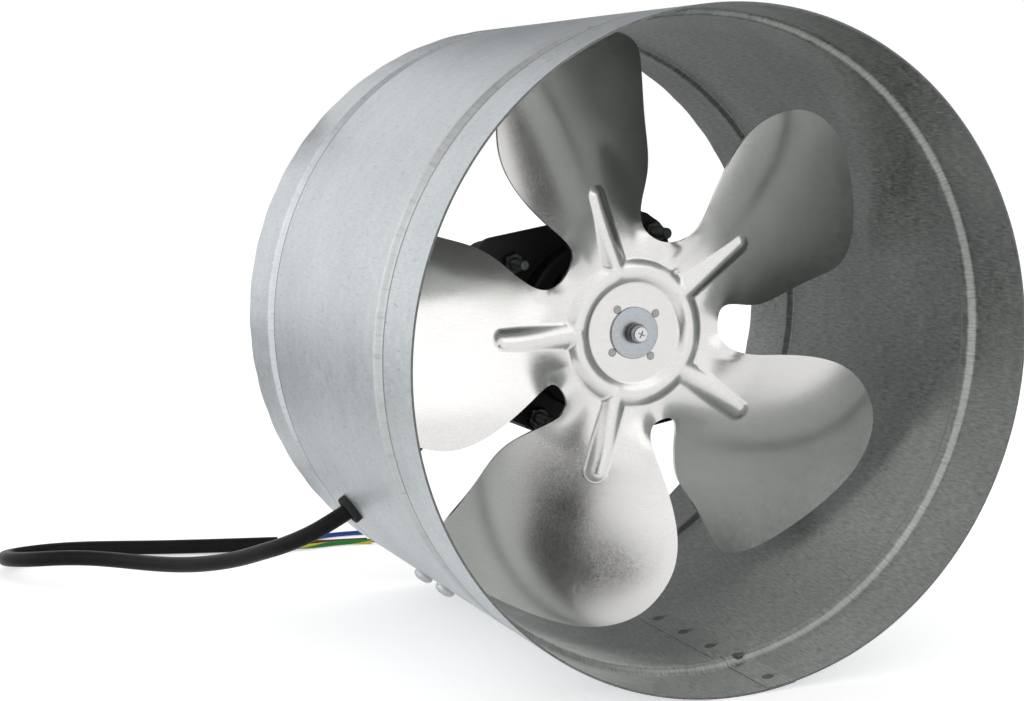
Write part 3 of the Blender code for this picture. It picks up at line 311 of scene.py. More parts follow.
class Nodes:
    """Short ways to add nodes to one tree."""

    def __init__(self, tree):
        self.tree = tree

    def link(self, source, target):
        self.tree.links.new(source, target)

    def add(self, kind, inputs=None, **settings):
        """Add a node, set its options and fill its inputs with values or links."""
        made = self.tree.nodes.new(kind)
        for name, value in settings.items():
            setattr(made, name, value)
        for name, value in (inputs or {}).items():
            if isinstance(value, bpy.types.NodeSocket):
                self.link(value, made.inputs[name])
            else:
                made.inputs[name].default_value = value
        return made

    def math(self, operation, first, second=0.0, third=0.0):
        """Socket with the result of a sum on up to three values."""
        return self.add("ShaderNodeMath", {0: first, 1: second, 2: third}, operation=operation).outputs[0]

    def product(self, first, *others):
        """Socket with the product of several values."""
        for other in others:
            first = self.math("MULTIPLY", first, other)
        return first

    def spread(self, value, low, high, to_low=0.0, to_high=1.0):
        """Socket with a value taken from one range to another."""
        inputs = {"Value": value, "From Min": low, "From Max": high, "To Min": to_low, "To Max": to_high}
        return self.add("ShaderNodeMapRange", inputs).outputs["Result"]

    def varied(self, pattern, low, high):
        """Socket with a noise pattern taken from the range it mostly keeps to another."""
        return self.spread(pattern, 0.3, 0.7, low, high)

    def mixed(self, share, first, second):
        """Socket with a mix of two colours."""
        return self.add("ShaderNodeMix", {0: share, 6: first, 7: second}, data_type="RGBA").outputs[2]

    def near_line(self, value, middle, half_width, soft):
        """Mask of a band round one value."""
        distance = self.math("ABSOLUTE", self.math("SUBTRACT", value, middle))
        return self.spread(distance, half_width, half_width + soft, 1.0, 0.0)


def new_group(name, kind, inputs, outputs):
    """Empty node group with named sockets: its nodes, the inputs as they arrive and the outputs to fill."""
    tree = bpy.data.node_groups.new(name, kind)
    for side, sockets in (("INPUT", inputs), ("OUTPUT", outputs)):
        for socket, value in sockets.items():
            tree.interface.new_socket(socket, in_out=side, socket_type=f"NodeSocket{value}")
    return Nodes(tree), tree.nodes.new("NodeGroupInput").outputs, tree.nodes.new("NodeGroupOutput").inputs


def grain_group():
    """Streaks and flecks that run along one direction, from a stretched noise."""
    inputs = {"Vector": "Vector", "Stretch": "Vector", "Low": "Float", "High": "Float"}
    outputs = {"Grain": "Float", "Flecks": "Float"}
    nodes, start, end = new_group("directional_grain", "ShaderNodeTree", inputs, outputs)
    both = {0: start["Vector"], 1: start["Stretch"]}
    scaled = nodes.add("ShaderNodeVectorMath", both, operation="MULTIPLY")
    texture = {"Vector": scaled.outputs[0], "Scale": 1.0, "Detail": 4.0, "Roughness": 0.62}
    pattern = nodes.add("ShaderNodeTexNoise", texture).outputs["Fac"]
    nodes.link(pattern, end["Grain"])
    nodes.link(nodes.spread(pattern, start["Low"], start["High"]), end["Flecks"])


def mottle_group():
    """Soft cloudy change of tone, with a finer crystal pattern on top."""
    inputs = {"Vector": "Vector", "Cloud Scale": "Float", "Crystal Scale": "Float"}
    outputs = {"Cloud": "Float", "Crystal": "Float"}
    nodes, start, end = new_group("soft_mottle", "ShaderNodeTree", inputs, outputs)
    place = start["Vector"]
    size = start["Crystal Scale"]
    clouds = {"Vector": place, "Scale": start["Cloud Scale"], "Detail": 3.0, "Roughness": 0.55}
    cloud = nodes.add("ShaderNodeTexNoise", clouds)
    wander = nodes.add("ShaderNodeTexNoise", {"Vector": place, "Scale": size, "Detail": 2.0})
    shift = {0: wander.outputs["Color"], 1: (0.004, 0.004, 0.004), 2: place}
    shifted = nodes.add("ShaderNodeVectorMath", shift, operation="MULTIPLY_ADD")
    pattern = {"Vector": shifted.outputs[0], "Scale": size, "Randomness": 1.0}
    cells = nodes.add("ShaderNodeTexVoronoi", pattern, feature="F1")
    crystal = nodes.add("ShaderNodeSeparateColor", {0: cells.outputs["Color"]})
    nodes.link(cloud.outputs["Fac"], end["Cloud"])
    nodes.link(crystal.outputs[0], end["Crystal"])


# Finishes


def tinted(colour, factor=1.0):
    """A colour made lighter or darker, with full cover."""
    return (colour[0] * factor, colour[1] * factor, colour[2] * factor, 1.0)


class Finish(Nodes):
    """A material with a Principled shader, and the patterns that feed it."""

    def __init__(self, name, metallic):
        material = bpy.data.materials.new(name)
        material.use_nodes = True
        super().__init__(material.node_tree)
        self.shader = self.tree.nodes["Principled BSDF"].inputs
        self.shader["Metallic"].default_value = metallic

    def place(self):
        """Place on the object."""
        return self.add("ShaderNodeTexCoord").outputs["Object"]

    def unrolled(self, layer):
        """Place on a UV map: round the piece and along it."""
        return self.add("ShaderNodeUVMap", uv_map=layer).outputs["UV"]

    def shared(self, group, inputs):
        """Outputs of a shared node group."""
        return self.add("ShaderNodeGroup", inputs, node_tree=bpy.data.node_groups[group]).outputs

    def grain(self, place, stretch, low=0.3, high=0.7):
        """The shared grain, with its own stretch and its own range of flecks."""
        inputs = {"Vector": place, "Stretch": stretch, "Low": low, "High": high}
        return self.shared("directional_grain", inputs)

    def mottle(self, place, cloud_scale, crystal_scale):
        """The shared mottle, with its own scales."""
        inputs = {"Vector": place, "Cloud Scale": cloud_scale, "Crystal Scale": crystal_scale}
        return self.shared("soft_mottle", inputs)

    def toned(self, colour, *tones):
        """Socket with a colour made lighter and darker by these values."""
        inputs = {0: colour, "Scale": self.product(*tones)}
        return self.add("ShaderNodeVectorMath", inputs, operation="SCALE").outputs[0]

    def cover(self, base, rough):
        """Give the shader its colour and its roughness."""
        self.link(base, self.shader["Base Color"])
        self.link(rough, self.shader["Roughness"])

    def relief(self, height, strength, distance):
        """Give the shader fine relief from a height value."""
        bump = self.add("ShaderNodeBump", {"Strength": strength, "Distance": distance, "Height": height})
        self.link(bump.outputs["Normal"], self.shader["Normal"])


def weld_mask(finish, round_tube, along, pattern):
    """Mask of the burnt spots in a row beside the lap."""
    spot_share = 0.55
    raggedness = 0.0030
    from_line = finish.math("SUBTRACT", round_tube, WELD_LINE)
    across = finish.product(from_line, spot_share)
    step = finish.math("PINGPONG", finish.math("SUBTRACT", along, WELD_START), WELD_PITCH / 2)
    squares = finish.math("ADD", finish.product(across, across), finish.product(step, step))
    distance = finish.math("SQRT", squares)
    ragged = finish.math("MULTIPLY_ADD", pattern, raggedness, -raggedness / 2)
    return finish.spread(finish.math("ADD", distance, ragged), 0.0004, 0.0021, 1.0, 0.0)


def bead_burnish_and_shade(finish, base, place, along, tube):
    """Colour with the burnished front bead, and a dark line of painted shade at the inlet foot of both beads.
    """
    half = tube.bead_width / 2
    front_bead = TUBE_FRONT + tube.bead_from_rim
    rear_bead = TUBE_REAR - tube.bead_from_rim
    marks = finish.grain(place, (420.0, 60.0, 1.0), 0.52, 0.66)
    band = finish.near_line(along, front_bead, half * 0.90, 0.0008)
    burnished = finish.mixed(marks["Flecks"], (0.50, 0.50, 0.48, 1.0), (0.33, 0.335, 0.33, 1.0))
    base = finish.mixed(finish.product(band, 0.55), base, burnished)
    for bead in (front_bead, rear_bead):
        # Painted shade: a thin dark line in each bead's groove, at its inlet foot.
        painted_shade_line = finish.near_line(along, bead - half - 0.0003, 0.0006, 0.0008)
        base = finish.mixed(finish.product(painted_shade_line, 0.70), base, (0.10, 0.105, 0.105, 1.0))
    return base


def galvanised(name, colour, tube, inside):
    """Zinc coat with a soft mottle, crystals, flecks along the axis and stained welds."""
    cloudy = 0.12 if inside else 0.07
    crystals = 0.05 if inside else 0.03
    dashes = 0.28 if inside else 0.08
    specks = 0.30 if inside else 0.20
    uneven = 0.06 if inside else 0.02
    strength = 0.35 if inside else 0.01
    finish = Finish(name, 1.0)
    place = finish.unrolled("sheet")
    parts = finish.add("ShaderNodeSeparateXYZ", {0: place}).outputs
    mottle = finish.mottle(place, 16.0, 330.0)
    flecks = finish.grain(place, (620.0, 130.0, 1.0), 0.58, 0.72)
    fine = finish.grain(place, (1150.0, 210.0, 1.0))
    streaks = finish.grain(place, (26.0, 150.0, 1.0))
    base = finish.toned(
        colour,
        finish.varied(mottle["Cloud"], 1 - cloudy, 1 + cloudy),
        finish.spread(mottle["Crystal"], 0, 1, 1 - crystals, 1 + crystals),
        finish.varied(streaks["Grain"], 0.98, 1.02),
        finish.varied(fine["Grain"], 1 - dashes, 1 + dashes),
        finish.math("SUBTRACT", 1.0, finish.product(flecks["Flecks"], specks)),
    )
    if not inside:
        base = bead_burnish_and_shade(finish, base, place, parts["Y"], tube)
    welds = weld_mask(finish, parts["X"], parts["Y"], flecks["Grain"])
    burnt = finish.mixed(fine["Flecks"], (0.045, 0.042, 0.036, 1.0), (0.16, 0.125, 0.085, 1.0))
    base = finish.mixed(finish.product(welds, 0.85), base, burnt)
    rough = finish.spread(mottle["Crystal"], 0, 1, 0.46 - uneven, 0.46 + uneven)
    rough = finish.math("ADD", rough, finish.varied(fine["Grain"], -uneven / 1.5, uneven / 1.5))
    finish.cover(base, rough)
    finish.relief(finish.math("ADD", fine["Grain"], mottle["Crystal"]), strength, 0.00012)


def rolled_aluminium(name, colour):
    """Mill finish with fine rolling lines along X and soft handling marks, smoother on the blades."""
    finish = Finish(name, 1.0)
    place = finish.place()
    lines = finish.grain(place, (260.0, 260.0, 2200.0))
    satin = finish.grain(place, (1500.0, 1500.0, 1500.0))
    blotches = finish.mottle(place, 40.0, 900.0)
    base = finish.toned(
        colour,
        finish.varied(lines["Grain"], 0.97, 1.03),
        finish.varied(satin["Grain"], 0.95, 1.05),
        finish.varied(blotches["Cloud"], 0.97, 1.03),
    )
    rough = finish.varied(satin["Grain"], 0.20, 0.26)
    rough = finish.math("ADD", rough, finish.varied(blotches["Cloud"], -0.01, 0.03))
    from_hub = finish.add("ShaderNodeVectorMath", {0: place, 1: AXIS}, operation="DISTANCE").outputs["Value"]
    rough = finish.math("ADD", rough, finish.spread(from_hub, 0.056, 0.078, 0.0, -0.08))
    finish.cover(base, rough)
    finish.relief(satin["Grain"], 0.05, 0.00006)


def plain_metal(name, colour, roughness, stretch, contrast):
    """Metal with fine lines in its tone and roughness."""
    finish = Finish(name, 1.0)
    lines = finish.grain(finish.place(), stretch)["Grain"]
    base = finish.toned(colour, finish.varied(lines, 1.0 - contrast, 1.0 + contrast))
    finish.cover(base, finish.varied(lines, roughness - 0.05, roughness + 0.08))
    finish.relief(lines, 0.15, 0.00008)


def painted(name, colour):
    """Thin black paint with a faint orange peel and dusty patches."""
    finish = Finish(name, 0.0)
    place = finish.place()
    peel = finish.grain(place, (700.0, 700.0, 700.0))["Grain"]
    dust = finish.mottle(place, 55.0, 800.0)["Cloud"]
    base = finish.mixed(finish.spread(dust, 0.45, 0.75, 0.0, 0.5), tinted(colour), tinted(colour, 2.6))
    finish.cover(base, finish.varied(dust, 0.30, 0.48))
    finish.relief(peel, 0.18, 0.0002)


def rubbery(name, colour, low, high):
    """Black sheath or rubber with faint marks along its length and a soft sheen."""
    finish = Finish(name, 0.0)
    finish.shader["Specular IOR Level"].default_value = 0.11
    marks = finish.grain(finish.place(), (260.0, 260.0, 260.0))["Grain"]
    base = finish.mixed(finish.spread(marks, 0.4, 0.8, 0.0, 0.5), tinted(colour), tinted(colour, 2.2))
    finish.cover(base, finish.varied(marks, low, high))
    finish.relief(marks, 0.12, 0.0002)


def insulation(name, colour, stripe=None):
    """Coloured core, with a stripe that winds slowly along it where one is given."""
    finish = Finish(name, 0.0)
    marks = finish.grain(finish.place(), (900.0, 900.0, 900.0))["Grain"]
    base = finish.mixed(finish.spread(marks, 0.35, 0.75, 0.0, 0.6), tinted(colour), tinted(colour, 0.72))
    if stripe is not None:
        parts = finish.add("ShaderNodeSeparateXYZ", {0: finish.unrolled("along")}).outputs
        turn = finish.math("MULTIPLY_ADD", parts["Y"], 22.0, parts["X"])
        band = finish.near_line(finish.math("FRACT", turn), 0.5, 0.19, 0.02)
        base = finish.mixed(band, base, tinted(stripe))
    finish.cover(base, finish.varied(marks, 0.30, 0.44))


def all_materials(scene):
    """Every finish of the object, by name.

    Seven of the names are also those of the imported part's own plain materials, which the names then find:
    bare_copper, black_paint, black_rubber, blue_insulation, brown_insulation, ground_steel and zinc_plate.
    """
    if "galvanised_outside" in bpy.data.materials:
        return bpy.data.materials
    grain_group()
    mottle_group()
    tube = scene.duct_fan_tube
    motor = scene.duct_fan_motor
    cable = scene.duct_fan_cable
    galvanised("galvanised_outside", tube.outside_colour, tube, False)
    # The inside coat takes the darker colour: painted shade inside the tube.
    galvanised("galvanised_inside", tube.inside_shaded_colour, tube, True)
    rolled_aluminium("rolled_aluminium", scene.duct_fan_impeller.colour)
    metals = (
        ("cut_edge", (0.18, 0.185, 0.185), 0.45, (500.0, 500.0, 500.0), 0.25),
        ("zinc_plate", motor.zinc_colour, 0.24, (700.0, 120.0, 700.0), 0.10),
        ("washer_zinc", (0.49, 0.52, 0.545), 0.30, (500.0, 120.0, 900.0), 0.10),
        ("bright_zinc", (0.72, 0.725, 0.73), 0.24, (700.0, 120.0, 700.0), 0.08),
        ("dark_steel", (0.16, 0.165, 0.17), 0.34, (900.0, 300.0, 900.0), 0.25),
        ("rivet_metal", (0.42, 0.42, 0.41), 0.40, (900.0, 900.0, 900.0), 0.15),
        ("ground_steel", (0.55, 0.55, 0.56), 0.22, (300.0, 2500.0, 300.0), 0.10),
        ("laminations", motor.lamination_colour, 0.45, (200.0, 2200.0, 200.0), 0.45),
        ("winding_copper", (0.45, 0.17, 0.06), 0.36, (150.0, 2600.0, 150.0), 0.45),
        ("bearing_bronze", (0.50, 0.34, 0.16), 0.38, (900.0, 900.0, 900.0), 0.20),
        ("bare_copper", (0.80, 0.42, 0.24), 0.26, (900.0, 900.0, 900.0), 0.15),
    )
    for metal in metals:
        plain_metal(*metal)
    painted("black_paint", motor.paint_colour)
    rubbery("black_sheath", cable.sheath_colour, 0.30, 0.42)
    rubbery("black_rubber", cable.sheath_colour, 0.50, 0.66)
    insulation("blue_insulation", cable.blue_colour)
    insulation("brown_insulation", cable.brown_colour)
    insulation("earth_insulation", cable.green_colour, cable.stripe_colour)
    return bpy.data.materials


# Shapes


def linked(name, data):
    """Object of a mesh, lamp or camera, in the scene at the origin."""
    made = bpy.data.objects.new(name, data)
    bpy.context.scene.collection.objects.link(made)
    return made


def smooth(mesh, sharp_degrees=35):
    """Shade a mesh smooth, apart from its sharp edges."""
    mesh.shade_smooth()
    mesh.set_sharp_from_angle(angle=math.radians(sharp_degrees))


def mesh_from(name, shape, *materials, recalculate=True):
    """Mesh of a bmesh, with its doubles merged and its faces outwards."""
    bmesh.ops.remove_doubles(shape, verts=shape.verts, dist=1e-7)
    if recalculate:
        bmesh.ops.recalc_face_normals(shape, faces=shape.faces)
    mesh = bpy.data.meshes.new(name)
    shape.to_mesh(mesh)
    shape.free()
    for material in materials:
        mesh.materials.append(material)
    return mesh


def as_object(name, shape, *materials, sharp_degrees=35, recalculate=True):
    """Smooth object of a bmesh."""
    mesh = mesh_from(name, shape, *materials, recalculate=recalculate)
    smooth(mesh, sharp_degrees)
    return linked(name, mesh)


def dress(made, body, slot, *nodes):
    """Let a finished piece ride on its body in place of these nodes."""
    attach(made, body)
    if nodes:
        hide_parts(*nodes)
    return made


def paint_node(node, material):
    """Give a shown solid its finish."""
    mesh = frame["nodes"][node].data
    mesh.materials.clear()
    mesh.materials.append(material)


def numbered(stem):
    return [f"{stem}_{number}" for number in range(1, 5)]


def circle(radius, count, centre=(0.0, 0.0)):
    """Points of a circle seen from the inlet."""
    points = []
    for index in range(count):
        angle = 2 * math.pi * index / count
        points.append((centre[0] + radius * math.cos(angle), centre[1] + radius * math.sin(angle)))
    return points


def rounded_square(side, corner, steps=6):
    """Outline of a square with rounded corners."""
    points = []
    middle = side / 2 - corner
    for quarter in range(4):
        sign_x = 1 if quarter in (0, 3) else -1
        sign_z = 1 if quarter in (0, 1) else -1
        for step in range(steps + 1):
            angle = (quarter + step / steps) * math.pi / 2
            x = sign_x * middle + corner * math.cos(angle)
            z = sign_z * middle + corner * math.sin(angle)
            points.append((x, z))
    return points


def slot_outline(width, length, steps=8):
    """Long hole with round ends, along X."""
    points = []
    for end in (1, -1):
        middle = end * (length - width) / 2
        for step in range(steps + 1):
            angle = math.radians(-90 + 180 * step / steps) + (0 if end > 0 else math.pi)
            points.append((middle + width / 2 * math.cos(angle), width / 2 * math.sin(angle)))
    return points


def flat_sheet(outline, holes=(), inner_points=()):
    """Triangles of an outline with holes, as a bmesh in the plane Y = 0."""
    points = [Vector(point) for point in outline]
    faces = [list(range(len(points)))]
    for hole in holes:
        first = len(points)
        points.extend(Vector(point) for point in hole)
        faces.append(list(range(first, len(points))))
    points.extend(Vector(point) for point in inner_points)
    made = delaunay_2d_cdt(points, [], faces, 2, 1e-7)
    shape = bmesh.new()
    corners = [shape.verts.new((point.x, 0.0, point.y)) for point in made[0]]
    for face in made[2]:
        shape.faces.new([corners[index] for index in face])
    return shape


def thicken(shape, thickness):
    """Close a sheet by extruding it towards the outlet."""
    made = bmesh.ops.extrude_face_region(shape, geom=shape.faces[:])
    far_side = [item for item in made["geom"] if isinstance(item, bmesh.types.BMVert)]
    bmesh.ops.translate(shape, verts=far_side, vec=(0, thickness, 0))
    return shape


def bridge(shape, rings):
    """Faces between each closed ring of corners and the next."""
    for first, second in zip(rings, rings[1:]):
        for index in range(len(first)):
            after = (index + 1) % len(first)
            shape.faces.new((first[index], first[after], second[after], second[index]))


def turned(profile, sides, closed=True):
    """Solid turned about Y from (radius, y) points: a closed loop, or a line from axis to axis."""
    shape = bmesh.new()
    rings = []
    for radius, y in profile:
        if radius == 0:
            rings.append([shape.verts.new((0, y, 0))])
        else:
            rings.append([shape.verts.new((x, y, z)) for x, z in circle(radius, sides)])
    pairs = list(zip(rings, rings[1:]))
    if closed:
        pairs.append((rings[-1], rings[0]))
    for first, second in pairs:
        for index in range(sides):
            after = (index + 1) % sides
            if len(first) == 1:
                shape.faces.new((first[0], second[index], second[after]))
            elif len(second) == 1:
                shape.faces.new((first[index], second[0], first[after]))
            else:
                shape.faces.new((first[index], second[index], second[after], first[after]))
    return shape


def rounded_profile(points, radius, steps=3):
    """Round the corners of a closed (radius, y) profile."""
    made = []
    count = len(points)
    for index in range(count):
        corner = Vector(points[index])
        before = Vector(points[index - 1]) - corner
        after = Vector(points[(index + 1) % count]) - corner
        reach = min(radius, before.length * 0.45, after.length * 0.45)
        first = corner + before.normalized() * reach
        last = corner + after.normalized() * reach
        for step in range(steps + 1):
            share = step / steps
            point = first * (1 - share) ** 2 + corner * 2 * share * (1 - share) + last * share**2
            made.append((point.x, point.y))
    return made


def moved(shape, matrix):
    """Take a bmesh to its place."""
    bmesh.ops.transform(shape, matrix=matrix, verts=shape.verts)
    return shape


def outward_matrix(angle, radius, y):
    """Matrix that takes local +Y to the radial direction at this angle about the fan axis."""
    outward = Vector((math.cos(angle), 0, math.sin(angle)))
    along = Vector((0, 1, 0))
    turn = Matrix((outward.cross(along), outward, along)).transposed().to_4x4()
    return Matrix.Translation(AXIS + outward * radius + along * y) @ turn


def on_axis(y=0.0):
    """Matrix that moves a shape made about the origin to the fan axis."""
    return Matrix.Translation((0, y, AXIS.z))


def motor_place(y=0.0):
    """Matrix of the motor, which is turned a little about the fan axis."""
    return on_axis(y) @ Matrix.Rotation(-BOLT_TURN, 4, "Y")


def smoothstep(share):
    share = np.clip(share, 0.0, 1.0)
    return share * share * (3 - 2 * share)


def spline_segments(points, closed):
    """Points, knot steps and second derivatives of a cubic spline through the points."""
    points = np.array(points, float)
    if closed:
        points = np.vstack([points, points[:1]])
    steps = np.sqrt(np.linalg.norm(np.diff(points, axis=0), axis=1))
    count = len(points)
    system = np.zeros((count, count))
    right = np.zeros_like(points)
    slopes = np.diff(points, axis=0) / steps[:, None]
    for row in range(1, count - 1):
        system[row, row - 1 : row + 2] = steps[row - 1], 2 * (steps[row - 1] + steps[row]), steps[row]
        right[row] = 6 * (slopes[row] - slopes[row - 1])
    if closed:
        system[0, [0, 1]] = 2 * (steps[0] + steps[-1]), steps[0]
        system[0, count - 2] = steps[-1]
        right[0] = 6 * (slopes[0] - slopes[-1])
        system[-1, [0, -1]] = 1, -1
    else:
        system[0, 0] = 1
        system[-1, -1] = 1
    return points, steps, np.linalg.solve(system, right)


def smooth_curve(points, closed=False, per_segment=24):
    """Points along a cubic spline through the given points."""
    points, steps, bends = spline_segments(points, closed)
    made = []
    for index, step in enumerate(steps):
        for part in range(per_segment):
            near = part / per_segment
            far = 1 - near
            bend = (far**3 - far) * bends[index] + (near**3 - near) * bends[index + 1]
            made.append(far * points[index] + near * points[index + 1] + step * step / 6 * bend)
    made.append(points[-1])
    return np.array(made)


def travelled_along(points):
    """Distance along a path at each of its points."""
    return np.concatenate([[0], np.cumsum(np.linalg.norm(np.diff(points, axis=0), axis=1))])


def even_points(route, spacing, closed=False):
    """Evenly spaced points along a smooth curve through the route."""
    fine = smooth_curve(route, closed)
    travelled = travelled_along(fine)
    count = max(2, round(travelled[-1] / spacing) + 1)
    wanted = np.linspace(0, travelled[-1], count)
    return np.stack([np.interp(wanted, travelled, fine[:, axis]) for axis in range(3)], axis=1)


def swept_tube(points, radius, sides):
    """Round tube along a path, with a UV map of turns round it and metres along it."""
    directions = np.gradient(points, axis=0)
    directions /= np.linalg.norm(directions, axis=1)[:, None]
    normal = Vector(directions[0]).orthogonal().normalized()
    travelled = travelled_along(points)
    shape = bmesh.new()
    layer = shape.loops.layers.uv.new("along")
    rings = []
    for point, direction in zip(points, directions):
        direction = Vector(direction)
        normal = (normal - direction * normal.dot(direction)).normalized()
        side = direction.cross(normal)
        offsets = [normal * across + side * up for across, up in circle(1.0, sides)]
        rings.append([shape.verts.new(Vector(point) + offset * radius) for offset in offsets])
    for row in range(len(rings) - 1):
        first, second = rings[row : row + 2]
        for index in range(sides):
            after = (index + 1) % sides
            face = shape.faces.new((first[index], first[after], second[after], second[index]))
            corners = ((index, row), (index + 1, row), (index + 1, row + 1), (index, row + 1))
            for loop, (turn, station) in zip(face.loops, corners):
                loop[layer].uv = (turn / sides, travelled[station])
    shape.faces.new(rings[0][::-1])
    shape.faces.new(rings[-1])
    return shape


def plain_mesh(made):
    """Turn an object's modifiers into its plain mesh."""
    graph = bpy.context.evaluated_depsgraph_get()
    mesh = bpy.data.meshes.new_from_object(made.evaluated_get(graph))
    made.modifiers.clear()
    made.data = mesh


def cut_away(made, cutters):
    """Cut other objects out of one, and remove them."""
    for cutter in cutters:
        modifier = made.modifiers.new(cutter.name, "BOOLEAN")
        modifier.operation = "DIFFERENCE"
        modifier.solver = "EXACT"
        modifier.material_mode = "TRANSFER"
        modifier.object = cutter
    plain_mesh(made)
    made.data.set_sharp_from_angle(angle=math.radians(35))
    for cutter in cutters:
        bpy.data.objects.remove(cutter)


# Geometry Nodes


def geometry_tree(name, inputs, instances):
    """Tree made once: instances from its own inputs, made real, with one finish."""
    if name not in bpy.data.node_groups:
        sockets = {"Geometry": "Geometry", **inputs, "Finish": "Material"}
        nodes, start, end = new_group(name, "GeometryNodeTree", sockets, {"Geometry": "Geometry"})
        real = nodes.add("GeometryNodeRealizeInstances", {"Geometry": instances(nodes, start)})
        finished = {"Geometry": real.outputs["Geometry"], "Material": start["Finish"]}
        nodes.link(nodes.add("GeometryNodeSetMaterial", finished).outputs["Geometry"], end["Geometry"])
    return bpy.data.node_groups[name]


def placed_instances(nodes, start):
    """A prototype on each point, facing along the point's own direction and spun by chance."""
    facing = nodes.add("GeometryNodeInputNamedAttribute", {"Name": "facing"}, data_type="FLOAT_VECTOR")
    direction = {"Vector": facing.outputs["Attribute"]}
    aligned = nodes.add("FunctionNodeAlignRotationToVector", direction, axis="Y")
    chance = nodes.add("FunctionNodeRandomValue", {"Seed": 7, 3: start["Spin"]}, data_type="FLOAT")
    about = {"Axis": (0.0, 1.0, 0.0), "Angle": chance.outputs[1]}
    spin = nodes.add("FunctionNodeAxisAngleToRotation", about)
    both = {"Rotation": aligned.outputs["Rotation"], "Rotate By": spin.outputs["Rotation"]}
    rotation = nodes.add("FunctionNodeRotateRotation", both, rotation_space="LOCAL")
    prototype = nodes.add("GeometryNodeObjectInfo", {"Object": start["Prototype"], "As Instance": True})
    inputs = {
        "Points": start["Geometry"],
        "Instance": prototype.outputs["Geometry"],
        "Rotation": rotation.outputs["Rotation"],
        "Scale": start["Size"],
    }
    return nodes.add("GeometryNodeInstanceOnPoints", inputs).outputs["Instances"]


def stacked_instances(nodes, start):
    """A sheet repeated at an even pitch along the fan axis."""
    step = nodes.add("ShaderNodeCombineXYZ", {"Y": start["Pitch"]})
    line = nodes.add("GeometryNodeMeshLine", {"Count": start["Count"], "Offset": step.outputs[0]})
    inputs = {"Points": line.outputs["Mesh"], "Instance": start["Geometry"]}
    return nodes.add("GeometryNodeInstanceOnPoints", inputs).outputs["Instances"]


def run_tree(made, tree, values):
    """Run a tree on an object with these inputs, and keep its result as a plain mesh."""
    modifier = made.modifiers.new(tree.name, "NODES")
    modifier.node_group = tree
    identifiers = {}
    for item in tree.interface.items_tree:
        if item.in_out == "INPUT":
            identifiers[item.name] = item.identifier
    for name, value in values.items():
        modifier[identifiers[name]] = value
    plain_mesh(made)


def placed_copies(name, prototype_mesh, places, material, spin=0.0):
    """Copies of a prototype at (point, facing) places, as one object."""
    points = bpy.data.meshes.new(f"{name}_points")
    points.from_pydata([tuple(point) for point, facing in places], [], [])
    attribute = points.attributes.new("facing", "FLOAT_VECTOR", "POINT")
    for item, (point, facing) in zip(attribute.data, places):
        item.vector = facing
    made = linked(name, points)
    prototype = linked(f"{name}_prototype", prototype_mesh)
    inputs = {"Prototype": "Object", "Size": "Float", "Spin": "Float"}
    tree = geometry_tree("place_fasteners", inputs, placed_instances)
    run_tree(made, tree, {"Prototype": prototype, "Size": 1.0, "Spin": spin, "Finish": material})
    bpy.data.objects.remove(prototype)
    smooth(made.data)
    return made


# Tube


def tube_stations(tube):
    """Places along the tube, close together at the rims and over the beads."""
    edge = 0.0003
    band = 0.002
    past_bead = 0.0016
    reach = tube.bead_width / 2 + past_bead
    front_bead = TUBE_FRONT + tube.bead_from_rim
    rear_bead = TUBE_REAR - tube.bead_from_rim
    stations = [TUBE_FRONT, TUBE_FRONT + edge, TUBE_FRONT + band]
    stretches = (
        (TUBE_FRONT + band, front_bead - reach, 8),
        (front_bead - reach, front_bead + reach, 19),
        (front_bead + reach, rear_bead - reach, 18),
        (rear_bead - reach, rear_bead + reach, 19),
        (rear_bead + reach, TUBE_REAR - band, 8),
    )
    for first, last, count in stretches:
        stations.extend(np.linspace(first, last, count)[1:])
    stations.extend([TUBE_REAR - edge, TUBE_REAR])
    return stations


def sheet_radius(turn, y, tube):
    """Radius of the sheet's outer face before the lap: beads, roller marks, soft dents and rear facets."""
    round_tube = math.radians(turn) * TUBE_RADIUS
    radius = TUBE_RADIUS
    half = tube.bead_width / 2
    for number, middle in enumerate((TUBE_FRONT + tube.bead_from_rim, TUBE_REAR - tube.bead_from_rim)):
        distance = abs(y - middle)
        if distance < half:
            rise = min(1.0, (half - distance) / (half * 0.58))
            mark = noise.noise(Vector((round_tube / 0.0019, number * 9.0, 0.0)))
            mark += 0.6 * noise.noise(Vector((round_tube / 0.0052, number * 9.0 + 4.0, 0.0)))
            radius -= rise * (tube.bead_depth + tube.crimp_depth * mark)
    dent = noise.noise(Vector((round_tube / 0.034, y / 0.060, 3.0)))
    small = noise.noise(Vector((round_tube / 0.013, y / 0.024, 8.0)))
    radius -= tube.waviness * (0.75 + 0.75 * dent + 0.25 * small)
    facet_length = 0.045
    facet_degrees = 7.5
    rear = min(1.0, max(0.0, (y - TUBE_REAR + facet_length) / facet_length))
    off = (turn / facet_degrees + 0.3 * noise.noise(Vector((turn / 11.0, 5.0, 0.0)))) % 1.0 - 0.5
    radius -= rear * TUBE_RADIUS * (1 - math.cos(math.radians(facet_degrees * off))) * 0.9
    return radius


def tube_turns():
    """Degrees round the tube from the outer edge of the lap, with a sharp step at both of its edges."""
    step_width = 0.05
    turns = list(np.linspace(0.0, LAP_EDGE - step_width, 530))
    turns.extend(np.linspace(LAP_EDGE, 360.0 - step_width, 12))
    return turns


